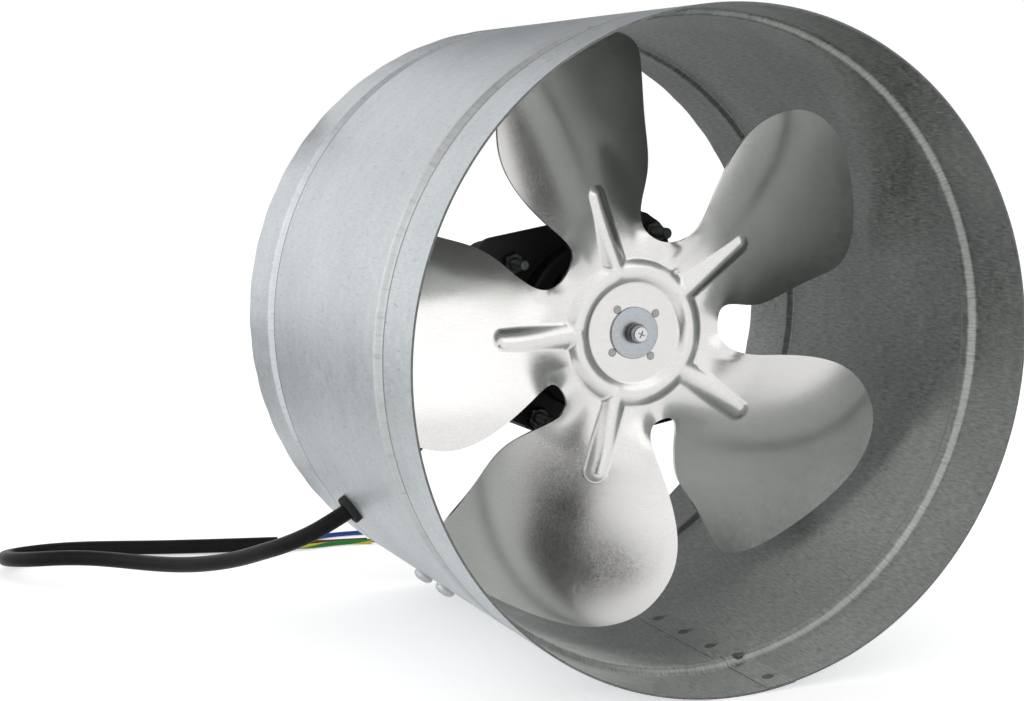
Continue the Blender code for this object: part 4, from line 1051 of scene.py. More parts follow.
def duct_tube(scene):
    """The rolled tube with its beads, rims and overlapped ends."""
    tube = scene.duct_fan_tube
    finishes = all_materials(scene)
    stations = tube_stations(tube)
    turns = tube_turns()
    shape = bmesh.new()
    layer = shape.loops.layers.uv.new("sheet")
    outer = []
    inner = []
    for turn in turns:
        angle = SEAM_ANGLE + math.radians(turn)
        outer_step = -tube.lap_step * (1 - smoothstep(turn / LAP_FADE))
        inner_step = -tube.lap_step if turn >= LAP_EDGE else outer_step
        outer.append([])
        inner.append([])
        for y in stations:
            radius = sheet_radius(turn, y, tube)
            for wall, distance in ((outer, radius + outer_step), (inner, radius - tube.wall + inner_step)):
                corner = (distance * math.cos(angle), y, AXIS.z + distance * math.sin(angle))
                wall[-1].append(shape.verts.new(corner))
    for column, first_turn in enumerate(turns):
        after = (column + 1) % len(turns)
        last_turn = turns[after] if after else 360.0
        for row in range(len(stations) - 1):
            places = [(first_turn, row), (last_turn, row), (last_turn, row + 1), (first_turn, row + 1)]
            for side, wall in enumerate((outer, inner)):
                corners = [wall[column][row], wall[after][row], wall[after][row + 1], wall[column][row + 1]]
                if wall is inner:
                    corners.reverse()
                    places.reverse()
                face = shape.faces.new(corners)
                face.material_index = side
                for loop, (turn, station) in zip(face.loops, places):
                    loop[layer].uv = (math.radians(turn) * TUBE_RADIUS, stations[station])
        for row in (0, -1):
            corners = (outer[column][row], inner[column][row], inner[after][row], outer[after][row])
            face = shape.faces.new(corners if row == 0 else corners[::-1])
            face.material_index = 2
    coats = [finishes[name] for name in ("galvanised_outside", "galvanised_inside", "cut_edge")]
    made = as_object("duct_tube", shape, *coats, sharp_degrees=38)
    dress(made, "housing", "galvanised_sheet", "housing_shell")


def spot_welds(scene):
    """Shallow weld marks in a row through the lap, inside the tube and outside it."""
    tube = scene.duct_fan_tube
    finishes = all_materials(scene)
    crest = 0.00022
    profile = (
        (0, -0.0006), (0.0022, -0.0006), (0.0022, 0.00008), (0.0017, crest), (0.0012, 0.00008), (0, 0.00004)
    )
    prototype = mesh_from("weld_mark", turned(profile, 20, False), finishes["cut_edge"])
    angle = SEAM_ANGLE - math.radians(LAP_WIDTH * 0.5)
    outward = Vector((math.cos(angle), 0, math.sin(angle)))
    places = []
    for number in range(WELD_COUNT):
        y = WELD_START + WELD_PITCH * number
        radius = sheet_radius(360.0 - LAP_WIDTH * 0.5, y, tube)
        middle = Vector((0, y, AXIS.z))
        places.append((middle + outward * (radius - tube.wall - tube.lap_step), -outward))
        places.append((middle + outward * (radius - crest), outward))
    made = placed_copies("spot_welds", prototype, places, finishes["dark_steel"])
    dress(made, "housing", "galvanised_sheet")


# Impeller


def at_blade(number, across, outwards):
    """(x, z) of a point given across and out along one blade."""
    angle = math.pi + number * 2 * math.pi / BLADE_COUNT
    return (
        outwards * math.cos(angle) - across * math.sin(angle),
        outwards * math.sin(angle) + across * math.cos(angle),
    )


def notch_point(side, degrees):
    """Point of the round notch on one side of a blade, this far round from its bottom."""
    half = math.pi / BLADE_COUNT
    angle = -side * half + math.radians(-90 - side * degrees)
    across = side * NOTCH_CENTRE * math.sin(half) + NOTCH_RADIUS * math.cos(angle)
    return across, NOTCH_CENTRE * math.cos(half) + NOTCH_RADIUS * math.sin(angle)


def impeller_outline(spacing):
    """Closed outline of the pressed sheet: each blade, then the round notch before the next one."""
    corners = [notch_point(1, 0), notch_point(1, NOTCH_DEGREES)]
    for width_share, share in BLADE_OUTLINE:
        corners.append((width_share * BLADE_WIDTH, BLADE_ROOT + share * (BLADE_TIP - BLADE_ROOT)))
    corners.append(notch_point(-1, NOTCH_DEGREES))
    route = []
    for number in range(BLADE_COUNT):
        route.extend((*at_blade(-number, across, outwards), 0.0) for across, outwards in corners)
    return even_points(route, spacing, True)[:-1, :2]


def hump(share):
    """Round pressed section with sharp feet at shares 0 and 1."""
    return np.sin(math.pi * np.clip(share, 0.0, 1.0))


def rib_half(outwards, sizes):
    """Half of a rib's width, which narrows from the ring to the rib's end."""
    share = np.clip((outwards - sizes.ring_outer) / (sizes.rib_end - sizes.ring_outer), 0.0, 1.0)
    return (sizes.rib_width + (sizes.rib_end_width - sizes.rib_width) * share) / 2


def ring_rows(sizes, spacing):
    """Circles of points across the ring and a little past its feet."""
    points = []
    for radius in np.arange(sizes.ring_inner - 2 * spacing, sizes.ring_outer + 2.5 * spacing, spacing):
        points.extend(circle(radius, round(2 * math.pi * radius / spacing)))
    return np.array(points)


def rib_rows(sizes, spacing):
    """Lines of points along each rib, its feet and its round end."""
    points = []
    end_half = sizes.rib_end_width / 2
    middle = sizes.rib_end - end_half
    shares = (0.0, 0.2, 0.4, 0.6, 0.8, 1.0, 1.17, 1.34)
    for number in range(BLADE_COUNT):
        for share in shares:
            for outwards in np.arange(sizes.ring_outer - 2 * spacing, middle, spacing):
                across = share * rib_half(outwards, sizes)
                points.append(at_blade(number, across, outwards))
                if share > 0:
                    points.append(at_blade(number, -across, outwards))
            reach = share * end_half
            steps = max(1, round(math.pi * reach / spacing))
            for angle in np.linspace(-math.pi / 2, math.pi / 2, steps + 1):
                points.append(at_blade(number, reach * math.sin(angle), middle + reach * math.cos(angle)))
    return np.array(points)


def clear_of(points, others, margin):
    """Those points that lie at least this far from all the others."""
    tree = KDTree(len(others))
    for index, (x, z) in enumerate(others):
        tree.insert((x, z, 0.0), index)
    tree.balance()
    return np.array([point for point in points if tree.find((*point, 0.0))[2] > margin])


def from_axis(points):
    """Distance of (x, z) points from the fan axis."""
    return np.hypot(points[:, 0], points[:, 1])


def pressed_height(x, z, sizes):
    """How far the front face of the impeller stands towards the outlet at points seen from the inlet."""
    radius = np.hypot(x, z)
    turn = np.arctan2(z, x) - math.pi
    turn -= np.round(turn / BLADE_PITCH) * BLADE_PITCH
    across = radius * np.sin(turn)
    outwards = radius * np.cos(turn)
    blend = smoothstep((radius - TWIST_START) / (TWIST_END - TWIST_START))
    between_blades = smoothstep(4 * np.abs(turn) / BLADE_PITCH - 1)
    below_notch = 1 - smoothstep((radius - NOTCH_CENTRE) / NOTCH_RADIUS + 1)
    blend *= 1 - between_blades * below_notch
    bulge = (sizes.camber_level**2 - across * across) / (2 * sizes.camber_radius)
    tilt = blend * (BLADE_SLOPE * across + bulge)
    ring = hump((radius - sizes.ring_inner) / (sizes.ring_outer - sizes.ring_inner))
    half = rib_half(outwards, sizes)
    past_end = np.maximum(0.0, outwards - (sizes.rib_end - sizes.rib_end_width / 2))
    distance = np.hypot(across, past_end)
    rib_start = 0.0050
    rib = hump(0.5 + distance / (2 * half)) * smoothstep((outwards - sizes.ring_inner) / rib_start)
    rib *= half / (sizes.rib_width / 2)
    sharpness = 6
    powers = (sizes.ring_height * ring) ** sharpness + (sizes.rib_height * rib) ** sharpness
    raised = powers ** (1 / sharpness)
    dimple = DIMPLE_DEPTH * smoothstep(1.4 - np.hypot(x - DIMPLE_X, z - DIMPLE_Z) / DIMPLE_RADIUS)
    return -tilt - raised + dimple


def inside_outline(points, outline, margin, block_size=2000):
    """Which points lie inside the outline and at least this far from it."""
    after = np.roll(outline, -1, axis=0)
    along = after - outline
    kept = np.zeros(len(points), bool)
    for first in range(0, len(points), block_size):
        block = points[first : first + block_size, None, :]
        offset = block - outline[None]
        share = np.clip((offset * along).sum(2) / (along * along).sum(1), 0, 1)
        distance = np.linalg.norm(offset - share[..., None] * along, axis=2).min(1)
        crossing = (outline[:, 1] > block[..., 1]) != (after[:, 1] > block[..., 1])
        rise = np.where(along[:, 1] == 0, 1.0, along[:, 1])
        cut = outline[:, 0] + (block[..., 1] - outline[:, 1]) * along[:, 0] / rise
        odd = (crossing & (cut > block[..., 0])).sum(1) % 2 == 1
        kept[first : first + block_size] = odd & (distance > margin)
    return kept


def grid_points(spacing, reach):
    """Points of a triangular grid round the fan axis."""
    row_share = 0.866
    rows = int(reach / (spacing * row_share))
    columns = int(reach / spacing)
    points = []
    for row in range(-rows, rows + 1):
        for column in range(-columns, columns + 1):
            points.append(((column + 0.5 * (row % 2)) * spacing, row * spacing * row_share))
    points = np.array(points)
    return points[from_axis(points) < reach]


def pressed_impeller(scene):
    """The bladed sheet with its pressed ring, ribs and twisted blades."""
    sizes = scene.duct_fan_impeller
    edge_spacing = 0.0013
    row_spacing = 0.00083
    fine_spacing = 0.00105
    coarse_spacing = 0.0026
    fine_reach = 0.0650
    outline = impeller_outline(edge_spacing)
    fine = grid_points(fine_spacing, fine_reach)
    coarse = grid_points(coarse_spacing, BLADE_TIP)
    coarse = coarse[from_axis(coarse) > fine_reach + 0.0010]
    ring = ring_rows(sizes, row_spacing)
    rows = np.vstack([ring, clear_of(rib_rows(sizes, row_spacing), ring, 0.0005)])
    points = np.vstack([rows, clear_of(np.vstack([fine, coarse]), rows, 0.0007)])
    points = points[inside_outline(points, outline, 0.0006)]
    points = points[from_axis(points) > HUB_HOLE + 0.0009]
    edge = [tuple(point) for point in outline]
    shape = flat_sheet(edge, [circle(HUB_HOLE, 32)], [tuple(point) for point in points])
    x = np.array([corner.co.x for corner in shape.verts])
    z = np.array([corner.co.z for corner in shape.verts])
    for corner, height in zip(shape.verts, pressed_height(x, z, sizes)):
        corner.co.y = FACE_Y + height
    thicken(shape, sizes.sheet)
    bmesh.ops.translate(shape, verts=shape.verts, vec=(0, 0, AXIS.z))
    made = as_object("pressed_impeller", shape, all_materials(scene)["rolled_aluminium"], sharp_degrees=40)
    dress(made, "rotor", "pressed_aluminium", "fan_impeller")


def hub_rivets(scene):
    """Four flush rivet heads round the washer."""
    metal = all_materials(scene)["rivet_metal"]
    profile = (
        (0, -0.0004), (0.0017, -0.0004), (0.0017, 0.0001), (0.0014, 0.00028), (0.0008, 0.0002), (0, 0.00016)
    )
    prototype = mesh_from("rivet_head", turned(profile, 20, False), metal)
    places = []
    for number in range(4):
        angle = math.radians(RIVET_DEGREES + 90 * number)
        point = Vector((RIVET_CIRCLE * math.cos(angle), FACE_Y, AXIS.z + RIVET_CIRCLE * math.sin(angle)))
        places.append((point, Vector((0, -1, 0))))
    dress(placed_copies("hub_rivets", prototype, places, metal), "rotor", "pressed_aluminium")


def cross_cutter(half_length, half_width, front, back):
    """Cross-shaped tool that tapers to its depth."""
    shape = bmesh.new()
    ends = []
    for y, length, width in ((front, half_length, half_width), (back, half_length * 0.45, half_width * 0.78)):
        outline = []
        for quarter in range(4):
            turn = Matrix.Rotation(-quarter * math.pi / 2, 3, "Y")
            for x, z in ((length, -width), (length, width), (width, width)):
                outline.append(shape.verts.new(turn @ Vector((x, y, z))))
        ends.append(outline)
        shape.faces.new(outline)
    bridge(shape, ends)
    return shape


def hub_washer(finishes):
    """Flat washer, with its edge in a darker metal as painted shade."""
    profile = (
        (HUB_BORE, WASHER_FRONT), (WASHER_RADIUS, WASHER_FRONT), (WASHER_RADIUS, FACE_Y), (HUB_BORE, FACE_Y)
    )
    shape = moved(turned(rounded_profile(profile, 0.0003), 72), on_axis())
    made = as_object("hub_washer", shape, finishes["washer_zinc"], finishes["rivet_metal"])
    # Painted shade: the faces round the washer's edge take the darker rivet metal.
    for face in made.data.polygons:
        face.material_index = 1 if abs(face.normal.y) < 0.6 else 0
    dress(made, "rotor", "zinc_plate", "impeller_washer")


def split_washer(finishes):
    """Spring washer, cut through and a little twisted."""
    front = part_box("spring_washer")[0].y
    back = WASHER_FRONT - SPRING_GAP
    section = ((HUB_BORE, front), (SPRING_RADIUS, front), (SPRING_RADIUS, back), (HUB_BORE, back))
    shape = bmesh.new()
    rings = []
    turns = 48
    cut_degrees = 70
    sweep_degrees = 352
    twist = 0.0004
    for step in range(turns + 1):
        share = step / turns
        angle = math.radians(cut_degrees) + share * math.radians(sweep_degrees)
        lift = (share - 0.5) * twist
        ring = []
        for radius, y in section:
            x = radius * math.cos(angle)
            ring.append(shape.verts.new((x, y + lift, AXIS.z + radius * math.sin(angle))))
        rings.append(ring)
    bridge(shape, rings)
    shape.faces.new(rings[0])
    shape.faces.new(rings[-1])
    made = as_object("split_washer", shape, finishes["dark_steel"])
    dress(made, "rotor", "zinc_plate", "spring_washer")


def hub_screw(finishes):
    """Cheese-head screw with a cross recess, its walls darker as painted shade."""
    low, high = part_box("impeller_screw")
    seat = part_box("spring_washer")[0].y - SPRING_GAP
    profile = (
        (0, low.y),
        (0.0028, low.y + 0.0001),
        (0.0031, low.y + 0.0004),
        (0.0034, low.y + 0.0010),
        (0.0034, seat - 0.0003),
        (0.0031, seat),
        (0.0020, seat),
        (0.0020, high.y),
        (0, high.y),
    )
    screw = as_object("hub_screw", turned(profile, 40, False), finishes["bright_zinc"])
    # Painted shade: the recess walls take the darker metal of the cutting tool.
    tool = cross_cutter(0.0020, 0.00026, low.y - 0.0006, low.y + 0.0008)
    cut_away(screw, [as_object("cross_tool", tool, finishes["rivet_metal"])])
    screw.data.transform(on_axis() @ Matrix.Rotation(math.radians(24), 4, "Y"))
    dress(screw, "rotor", "zinc_plate", "impeller_screw")


def hub_fixings(scene):
    """Rivets, washers and screw of the hub, and the finishes of the turning pieces behind it."""
    finishes = all_materials(scene)
    hub_rivets(scene)
    hub_washer(finishes)
    split_washer(finishes)
    hub_screw(finishes)
    paint_node("drive_hub", finishes["dark_steel"])
    paint_node("motor_shaft", finishes["ground_steel"])
    paint_node("rotor_core", finishes["laminations"])


# Motor


def bolt_centres():
    """(x, z) of the motor's corner bolts about the fan axis."""
    centres = []
    for quarter in range(4):
        angle = math.pi / 4 + quarter * math.pi / 2
        centres.append((BOLT_CIRCLE * math.cos(angle), BOLT_CIRCLE * math.sin(angle)))
    return centres


def square_sheet(bore, sides, thickness):
    """Square sheet with round corners, a bore and four bolt holes."""
    holes = [circle(bore, sides)]
    holes.extend(circle(BOLT_HOLE, 16, centre) for centre in bolt_centres())
    return thicken(flat_sheet(rounded_square(STACK_SIDE, STACK_CORNER), holes), thickness)


def stator_stack(scene):
    """The square stack, sheet by sheet."""
    pitch = scene.duct_fan_motor.lamination
    varnished = all_materials(scene)["laminations"]
    made = as_object("stator_stack", square_sheet(STACK_BORE, 48, pitch * 0.8), varnished)
    count = int((STACK_HIGH.y - STACK_LOW.y) / pitch)
    tree = geometry_tree("stack_sheets", {"Count": "Int", "Pitch": "Float"}, stacked_instances)
    run_tree(made, tree, {"Count": count, "Pitch": pitch, "Finish": varnished})
    made.data.transform(motor_place(STACK_LOW.y))
    made.data.set_sharp_from_angle(angle=math.radians(35))
    dress(made, "housing", "lamination_steel")


def end_shield(scene, name, node, depth, base_y, facing):
    """A square flange with a drawn cup, cooling slots and a bearing boss."""
    paint = all_materials(scene)["black_paint"]
    flange = mesh_from(f"{name}_flange", square_sheet(CUP_RADIUS - 0.0012, 72, SHIELD_SHEET), paint)
    inner = CUP_RADIUS - SHIELD_SHEET
    profile = (
        (inner, 0),
        (CUP_RADIUS, 0),
        (CUP_RADIUS, depth),
        (BOSS_RADIUS, depth),
        (BOSS_RADIUS, depth + BOSS_REACH),
        (BOSS_BORE, depth + BOSS_REACH),
        (BOSS_BORE, depth - BOSS_REACH),
        (BOSS_RADIUS, depth - BOSS_REACH),
        (BOSS_RADIUS, depth - SHIELD_SHEET),
        (inner, depth - SHIELD_SHEET),
    )
    cup = as_object(f"{name}_cup", turned(rounded_profile(profile, 0.0018, 4), 96), paint)
    cutters = []
    for number in range(SLOT_COUNT):
        angle = 2 * math.pi * (number + 0.5) / SLOT_COUNT
        slot = thicken(flat_sheet(slot_outline(0.0044, 0.0130)), SLOT_DEPTH)
        bmesh.ops.translate(slot, verts=slot.verts, vec=(SLOT_CIRCLE, depth - SLOT_DEPTH / 2, 0))
        bmesh.ops.rotate(slot, verts=slot.verts, cent=(0, 0, 0), matrix=Matrix.Rotation(-angle, 3, "Y"))
        cutters.append(as_object(f"slot_{number}", slot, paint))
    cut_away(cup, cutters)
    shape = bmesh.new()
    shape.from_mesh(cup.data)
    shape.from_mesh(flange)
    bpy.data.objects.remove(cup)
    place = motor_place(base_y)
    if facing < 0:
        place = place @ Matrix.Rotation(math.pi, 4, "Z")
    made = as_object(name, moved(shape, place), paint, recalculate=False)
    dress(made, "housing", "black_paint", node)


def motor_pieces(scene):
    """Stack, end shields, windings, bearings and the bracket that carries them."""
    finishes = all_materials(scene)
    stator_stack(scene)
    front_seat = STACK_LOW.y - SEAT_GAP
    rear_seat = STACK_HIGH.y + SEAT_GAP
    end_shield(scene, "front_end_shield", "motor_front_shield", FRONT_CUP_DEPTH, front_seat, -1)
    end_shield(scene, "rear_end_shield", "motor_rear_shield", REAR_CUP_DEPTH, rear_seat, 1)
    paint_node("stator_core", finishes["laminations"])
    for node in numbered("stator_coil"):
        paint_node(node, finishes["winding_copper"])
    for node in ("front_bearing", "rear_bearing"):
        paint_node(node, finishes["bearing_bronze"])
    paint_node("motor_bracket", finishes["black_paint"])


# Fasteners


def hex_nut_mesh(name, height, bore, material):
    """Chamfered hexagon nut, from its seat at Y = 0 upwards."""
    shape = bmesh.new()
    sides = 24
    rings = []
    corner = HEX_FLATS / math.sqrt(3)
    levels = (
        (0.0, 0.93, False),
        (height * 0.12, 1.0, True),
        (height * 0.86, 1.0, True),
        (height, 0.90, False),
    )
    for y, grow, six_sided in levels:
        ring = []
        for index in range(sides):
            angle = 2 * math.pi * index / sides
            within = (angle + math.pi / 6) % (math.pi / 3) - math.pi / 6
            flat = corner * math.cos(math.pi / 6) / math.cos(math.pi / 6 - abs(within))
            distance = flat if six_sided else min(flat, HEX_FLATS / 2 * 1.06) * grow
            ring.append(shape.verts.new((distance * math.cos(angle), y, distance * math.sin(angle))))
        rings.append(ring)
    for radius, y in ((bore * 1.12, height), (bore, height - 0.0004), (bore, 0.0)):
        rings.append([shape.verts.new((x, y, z)) for x, z in circle(radius, sides)])
    rings.append(rings[0])
    bridge(shape, rings)
    return mesh_from(name, shape, material)


def pan_screw_mesh(finishes):
    """Pan-head screw with a cross recess, its seat at Y = 0 and its head upwards."""
    profile = (
        (0, 0.0026),
        (0.0015, 0.00253),
        (0.0027, 0.0022),
        (0.0036, 0.0016),
        (0.0041, 0.0009),
        (0.0042, 0.0004),
        (0.0041, -0.0003),
        (0.0024, -0.0003),
        (0.0024, -0.0058),
        (0, -0.0058),
    )
    screw = as_object("pan_screw", turned(profile, 36, False), finishes["zinc_plate"])
    tool = cross_cutter(0.0023, 0.00050, 0.0034, 0.0010)
    cut_away(screw, [as_object("pan_tool", tool, finishes["dark_steel"])])
    mesh = screw.data.copy()
    bpy.data.objects.remove(screw)
    return mesh


def bolt_mesh(material):
    """Hexagon-head bolt: its head above Y = 0, its shank with turned thread crests below."""
    thread_end = BOLT_TIP - BOLT_SEAT
    thread_start = PLATE_FRONT + 0.0020 - BOLT_SEAT
    profile = [
        (0, 0.0036),
        (0.0021, 0.0036),
        (0.0021, 0.0),
        (BOLT_RADIUS, -0.0003),
        (BOLT_RADIUS, thread_start),
    ]
    y = thread_start - 0.0002
    while y > thread_end + 0.0010:
        profile.append((THREAD_ROOT, y))
        profile.append((BOLT_RADIUS, y - THREAD_PITCH / 2))
        y -= THREAD_PITCH
    profile.append((0.0018, thread_end))
    profile.append((0, thread_end))
    shape = bmesh.new()
    shape.from_mesh(hex_nut_mesh("bolt_head", BOLT_HEAD, THREAD_ROOT, material))
    shape.from_mesh(mesh_from("bolt_shank", turned(profile, 20, False), material))
    return mesh_from("corner_bolt", shape, material, recalculate=False)


def foot_places(radius):
    """Points on the bracket's four foot screws at this radius, with their outward direction."""
    places = []
    for node in numbered("bracket_screw"):
        low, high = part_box(node)
        middle = (low + high) / 2
        outward = Vector((middle.x, 0, middle.z - AXIS.z)).normalized()
        places.append((Vector((0, middle.y, AXIS.z)) + outward * radius, outward))
    return places


def corner_places(y, facing):
    """Points on the motor's corner bolts at one distance along the fan axis, all facing along it."""
    turn = motor_place()
    return [(turn @ Vector((x, y, z)), Vector((0, facing, 0))) for x, z in bolt_centres()]


def fasteners(scene):
    """Screws and nuts of the bracket and the motor."""
    finishes = all_materials(scene)
    zinc = finishes["zinc_plate"]
    steel = finishes["dark_steel"]
    inward = [(point, -outward) for point, outward in foot_places(FOOT_NUT_SEAT)]
    foot_nut = hex_nut_mesh("thin_nut", FOOT_NUT_HEIGHT, BOLT_RADIUS, zinc)
    corner_nut = hex_nut_mesh("motor_nut", BOLT_HEAD, BOLT_RADIUS, zinc)
    groups = (
        ("foot_screws", pan_screw_mesh(finishes), foot_places(TUBE_RADIUS + SEAT_GAP), zinc, "bracket_screw"),
        ("foot_nuts", foot_nut, inward, zinc, "bracket_nut"),
        ("corner_nuts", corner_nut, corner_places(PLATE_FRONT, -1), steel, "motor_nut"),
        ("corner_bolts", bolt_mesh(steel), corner_places(BOLT_SEAT, 1), steel, "motor_bolt"),
    )
    for name, prototype, places, material, node in groups:
        made = placed_copies(name, prototype, places, material, math.pi)
        dress(made, "housing", "zinc_plate", *numbered(node))


# Cable


def on_grommet_axis(radius):
    """Point on the grommet's axis at this distance from the fan axis."""
    return (radius * math.cos(GROMMET_ANGLE), GROMMET_Y, AXIS.z + radius * math.sin(GROMMET_ANGLE))


def cable_path(route, spacing):
    """Even points along a cable, with a straight first stretch to the second point of its route."""
    points = even_points(route, spacing)
    return np.insert(points, 1, route[1], axis=0)


def copper_strands(name, start, direction, length, material):
    """Twisted strands at the end of a core."""
    strand_radius = 0.00018
    strand_circle = 0.00038
    steps = 12
    twist = 2.4
    shape = bmesh.new()
    side = direction.orthogonal().normalized()
    other = direction.cross(side)
    for strand in range(7):
        ring = 0.0 if strand == 0 else strand_circle
        points = []
        for step in range(steps + 1):
            share = step / steps
            angle = strand * math.pi / 3 + share * twist
            spread_out = ring * (1 + 0.25 * share * share)
            offset = side * math.cos(angle) * spread_out + other * math.sin(angle) * spread_out
            points.append(tuple(start + direction * length * share + offset))
        strand_mesh = mesh_from(f"{name}_{strand}", swept_tube(np.array(points), strand_radius, 8), material)
        shape.from_mesh(strand_mesh)
        bpy.data.meshes.remove(strand_mesh)
    return as_object(name, shape, material, recalculate=False)


def free_cable(scene):
    """The black cable to the floor, its three cores and their bare ends."""
    sizes = scene.duct_fan_cable
    finishes = all_materials(scene)
    route = [on_grommet_axis(SHEATH_START), on_grommet_axis(GROMMET_FACE), *CORD_ROUTE]
    path = cable_path(route, 0.0020)
    shape = swept_tube(path, sizes.sheath_radius, 28)
    sheath = as_object("cable_sheath", shape, finishes["black_sheath"], sharp_degrees=50)
    dress(sheath, "housing", "cable_sheath", "power_cord")
    slots = {"blue": "blue_insulation", "brown": "brown_insulation", "earth": "green_insulation"}
    copper = finishes["bare_copper"]
    for name, core_route in CORE_ROUTES.items():
        points = even_points(core_route, 0.0010)
        shape = swept_tube(points, sizes.core_radius, 18)
        core = as_object(f"{name}_core", shape, finishes[f"{name}_insulation"], sharp_degrees=50)
        dress(core, "housing", slots[name], f"core_{name}")
        end = Vector(points[-1])
        direction = Vector(points[-1] - points[-2]).normalized()
        strands = copper_strands(f"{name}_strands", end, direction, sizes.copper_length, copper)
        dress(strands, "housing", "bare_copper", f"core_{name}_copper")


def grommet_and_lead(scene):
    """Rubber grommet in the wall, and the cable's run inside to the motor."""
    finishes = all_materials(scene)
    bore = 0.0037
    groove = 0.0048
    flange = 0.0062
    inside_end = 0.1212
    wall_inside = 0.1241
    wall_outside = 0.1246
    profile = (
        (bore, inside_end),
        (flange, inside_end),
        (flange, wall_inside),
        (groove, wall_inside),
        (groove, wall_outside),
        (flange, wall_outside),
        (flange, GROMMET_FACE),
        (bore, GROMMET_FACE),
    )
    place = outward_matrix(GROMMET_ANGLE, 0, GROMMET_Y)
    shape = moved(turned(rounded_profile(profile, 0.0009, 4), 48), place)
    made = as_object("wall_grommet", shape, finishes["black_rubber"])
    dress(made, "housing", "black_rubber", "cable_grommet")
    paint_node("lead_bush", finishes["black_rubber"])
    paint_node("motor_lead", finishes["black_sheath"])


# Stage


def look_from(place, direction, name, data):
    """Object of a camera or lamp at a place, facing a direction."""
    made = linked(name, data)
    made.location = place
    made.rotation_euler = Vector(direction).to_track_quat("-Z", "Y").to_euler()
    return made


def panel_light(name, place, target, size, power):
    """A soft rectangular lamp that faces a point."""
    data = bpy.data.lights.new(name, "AREA")
    data.shape = "RECTANGLE"
    data.size = size[0]
    data.size_y = size[1]
    data.energy = power
    look_from(place, Vector(target) - Vector(place), name, data)


def bare_nodes(owner):
    """Empty node tree of a material or a world."""
    owner.use_nodes = True
    owner.node_tree.nodes.clear()
    return Nodes(owner.node_tree)


def room(settings):
    """White backdrop to the camera, in metal and through glass, and a softer light from it."""
    world = bpy.data.worlds.new("room")
    bpy.context.scene.world = world
    nodes = bare_nodes(world)
    path = nodes.add("ShaderNodeLightPath").outputs
    direct = nodes.math("MAXIMUM", path["Is Camera Ray"], path["Is Glossy Ray"])
    direct = nodes.math("MAXIMUM", direct, path["Is Transmission Ray"])
    level = nodes.spread(direct, 0.0, 1.0, settings.room_tone, settings.backdrop_tone)
    background = nodes.add("ShaderNodeBackground", {"Color": (1.0, 1.0, 1.0, 1.0), "Strength": level})
    nodes.add("ShaderNodeOutputWorld", {"Surface": background.outputs[0]})


def floor(settings):
    """Pale floor that keeps the object's shadow and blends into the white backdrop."""
    shape = bmesh.new()
    bmesh.ops.create_grid(shape, x_segments=1, y_segments=1, size=6.0)
    material = bpy.data.materials.new("pale_floor")
    nodes = bare_nodes(material)
    matt = nodes.add("ShaderNodeBsdfDiffuse", {"Color": tinted(settings.floor_colour)})
    path = nodes.add("ShaderNodeLightPath").outputs
    mirrored = nodes.math("MAXIMUM", path["Is Glossy Ray"], path["Is Transmission Ray"])
    to_camera = nodes.product(path["Is Camera Ray"], 0.45)
    level = nodes.math("ADD", to_camera, nodes.product(mirrored, 0.22))
    glow = nodes.add("ShaderNodeEmission", {"Strength": level})
    both = nodes.add("ShaderNodeAddShader", {0: matt.outputs[0], 1: glow.outputs[0]})
    nodes.add("ShaderNodeOutputMaterial", {"Surface": both.outputs[0]})
    made = linked("floor", mesh_from("floor", shape, material, recalculate=False))


def reflection_card(name, corners, tone):
    """A card out of the picture, that only shows in reflections."""
    shape = bmesh.new()
    shape.faces.new([shape.verts.new(corner) for corner in corners])
    material = bpy.data.materials.new(name)
    nodes = bare_nodes(material)
    glow = nodes.add("ShaderNodeEmission", {"Color": (tone, tone, tone, 1.0), "Strength": 1.0})
    nodes.add("ShaderNodeOutputMaterial", {"Surface": glow.outputs[0]})
    made = linked(name, mesh_from(name, shape, material, recalculate=False))
    made.visible_camera = False
    made.visible_diffuse = False
    made.visible_shadow = False
    made.visible_transmission = False


def stage(scene):
    """Floor, room, lamps, cards and camera."""
    settings = scene.duct_fan_stage
    floor(settings)
    room(settings)
    middle = (0, 0, 0.12)
    panel_light("front_panel", (0.58, -1.16, 1.08), middle, (1.0, 0.8), settings.front_power)
    panel_light("left_panel", (-1.6, 0.3, 0.7), middle, (1.2, 1.2), settings.left_power)
    for name, (corners, tone) in REFLECTION_CARDS.items():
        reflection_card(name, corners, tone)
    data = bpy.data.cameras.new("photo_camera")
    data.lens = settings.lens
    data.sensor_width = 36.0
    scene.camera = look_from(CAMERA_PLACE, CAMERA_DIRECTION, "photo_camera", data)
    scene.view_settings.view_transform = "Standard"


# Operators and panel


class DUCTFAN_OT_stage(bpy.types.Operator):
    """Set the floor, the room, the lamps and the camera"""

    bl_idname = "duct_fan.stage"
    bl_label = "Stage"

    def execute(self, context):
        stage(context.scene)
        return {"FINISHED"}


class DUCTFAN_OT_cable(bpy.types.Operator):
    """Lay the free cable with its cores, its grommet and its run inside"""

    bl_idname = "duct_fan.cable"
    bl_label = "Cable"

    def execute(self, context):
        free_cable(context.scene)
        grommet_and_lead(context.scene)
        return {"FINISHED"}


class DUCTFAN_OT_tube(bpy.types.Operator):
    """Roll the galvanised tube and weld its lap"""

    bl_idname = "duct_fan.tube"
    bl_label = "Tube"

    def execute(self, context):
        duct_tube(context.scene)
        spot_welds(context.scene)
        return {"FINISHED"}


class DUCTFAN_OT_impeller(bpy.types.Operator):
    """Press the impeller"""

    bl_idname = "duct_fan.impeller"
    bl_label = "Impeller"

    def execute(self, context):
        pressed_impeller(context.scene)
        return {"FINISHED"}


class DUCTFAN_OT_hub(bpy.types.Operator):
    """Fit the rivets, washers and screw of the hub, and finish the shaft"""

    bl_idname = "duct_fan.hub"
    bl_label = "Hub fixings"

    def execute(self, context):
        hub_fixings(context.scene)
        return {"FINISHED"}


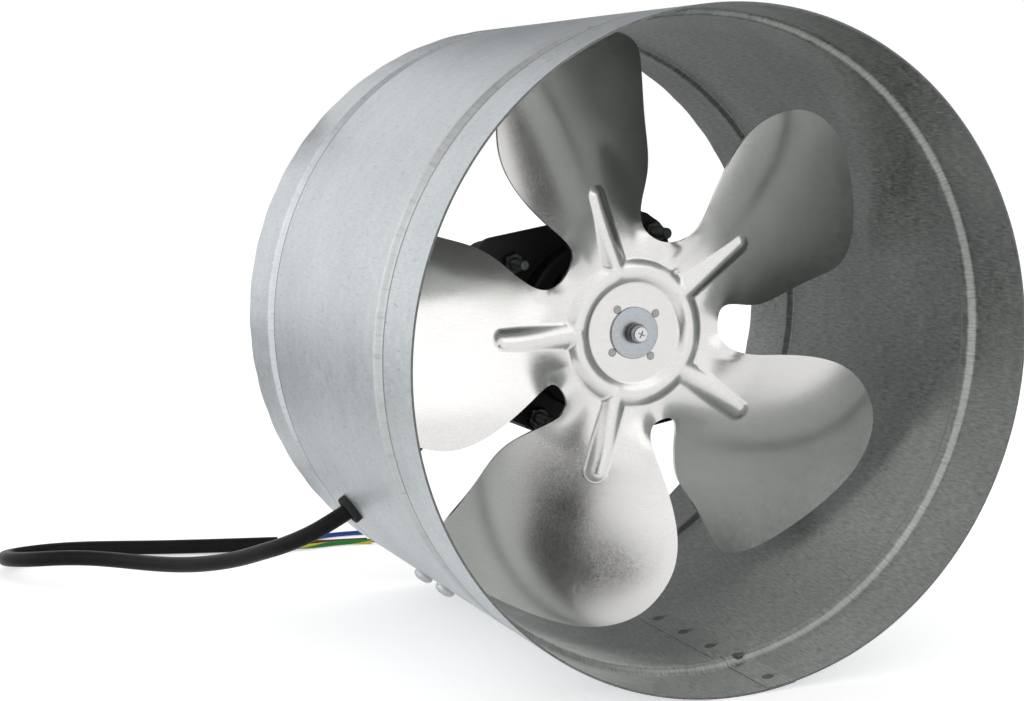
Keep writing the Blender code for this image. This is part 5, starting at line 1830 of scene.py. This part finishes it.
class DUCTFAN_OT_motor(bpy.types.Operator):
    """Build the motor and its bracket"""

    bl_idname = "duct_fan.motor"
    bl_label = "Motor and bracket"

    def execute(self, context):
        motor_pieces(context.scene)
        return {"FINISHED"}


class DUCTFAN_OT_fasteners(bpy.types.Operator):
    """Place the screws, nuts and bolts"""

    bl_idname = "duct_fan.fasteners"
    bl_label = "Fasteners"

    def execute(self, context):
        fasteners(context.scene)
        return {"FINISHED"}


class DUCTFAN_PT_panel(bpy.types.Panel):
    """Lists the steps that build the fan"""

    bl_idname = "DUCTFAN_PT_panel"
    bl_label = "Duct fan"
    bl_space_type = "VIEW_3D"
    bl_region_type = "UI"
    bl_category = "Duct fan"

    def draw(self, context):
        for operator in OPERATORS:
            self.layout.operator(operator.bl_idname)


OPERATORS = (
    DUCTFAN_OT_stage,
    DUCTFAN_OT_cable,
    DUCTFAN_OT_tube,
    DUCTFAN_OT_impeller,
    DUCTFAN_OT_hub,
    DUCTFAN_OT_motor,
    DUCTFAN_OT_fasteners,
)

SETTINGS = {
    "duct_fan_tube": TubeSettings,
    "duct_fan_impeller": ImpellerSettings,
    "duct_fan_motor": MotorSettings,
    "duct_fan_cable": CableSettings,
    "duct_fan_stage": StageSettings,
}


def register():
    for name, group in SETTINGS.items():
        bpy.utils.register_class(group)
        setattr(bpy.types.Scene, name, bpy.props.PointerProperty(type=group))
    for operator in OPERATORS:
        bpy.utils.register_class(operator)
    bpy.utils.register_class(DUCTFAN_PT_panel)


def unregister():
    bpy.utils.unregister_class(DUCTFAN_PT_panel)
    for operator in reversed(OPERATORS):
        bpy.utils.unregister_class(operator)
    for name, group in SETTINGS.items():
        delattr(bpy.types.Scene, name)
        bpy.utils.unregister_class(group)


def main():
    register()
    bpy.ops.duct_fan.stage()
    bpy.ops.duct_fan.cable()
    bpy.ops.duct_fan.tube()
    bpy.ops.duct_fan.impeller()
    bpy.ops.duct_fan.hub()
    bpy.ops.duct_fan.motor()
    bpy.ops.duct_fan.fasteners()


if __name__ == "__main__":
    main()
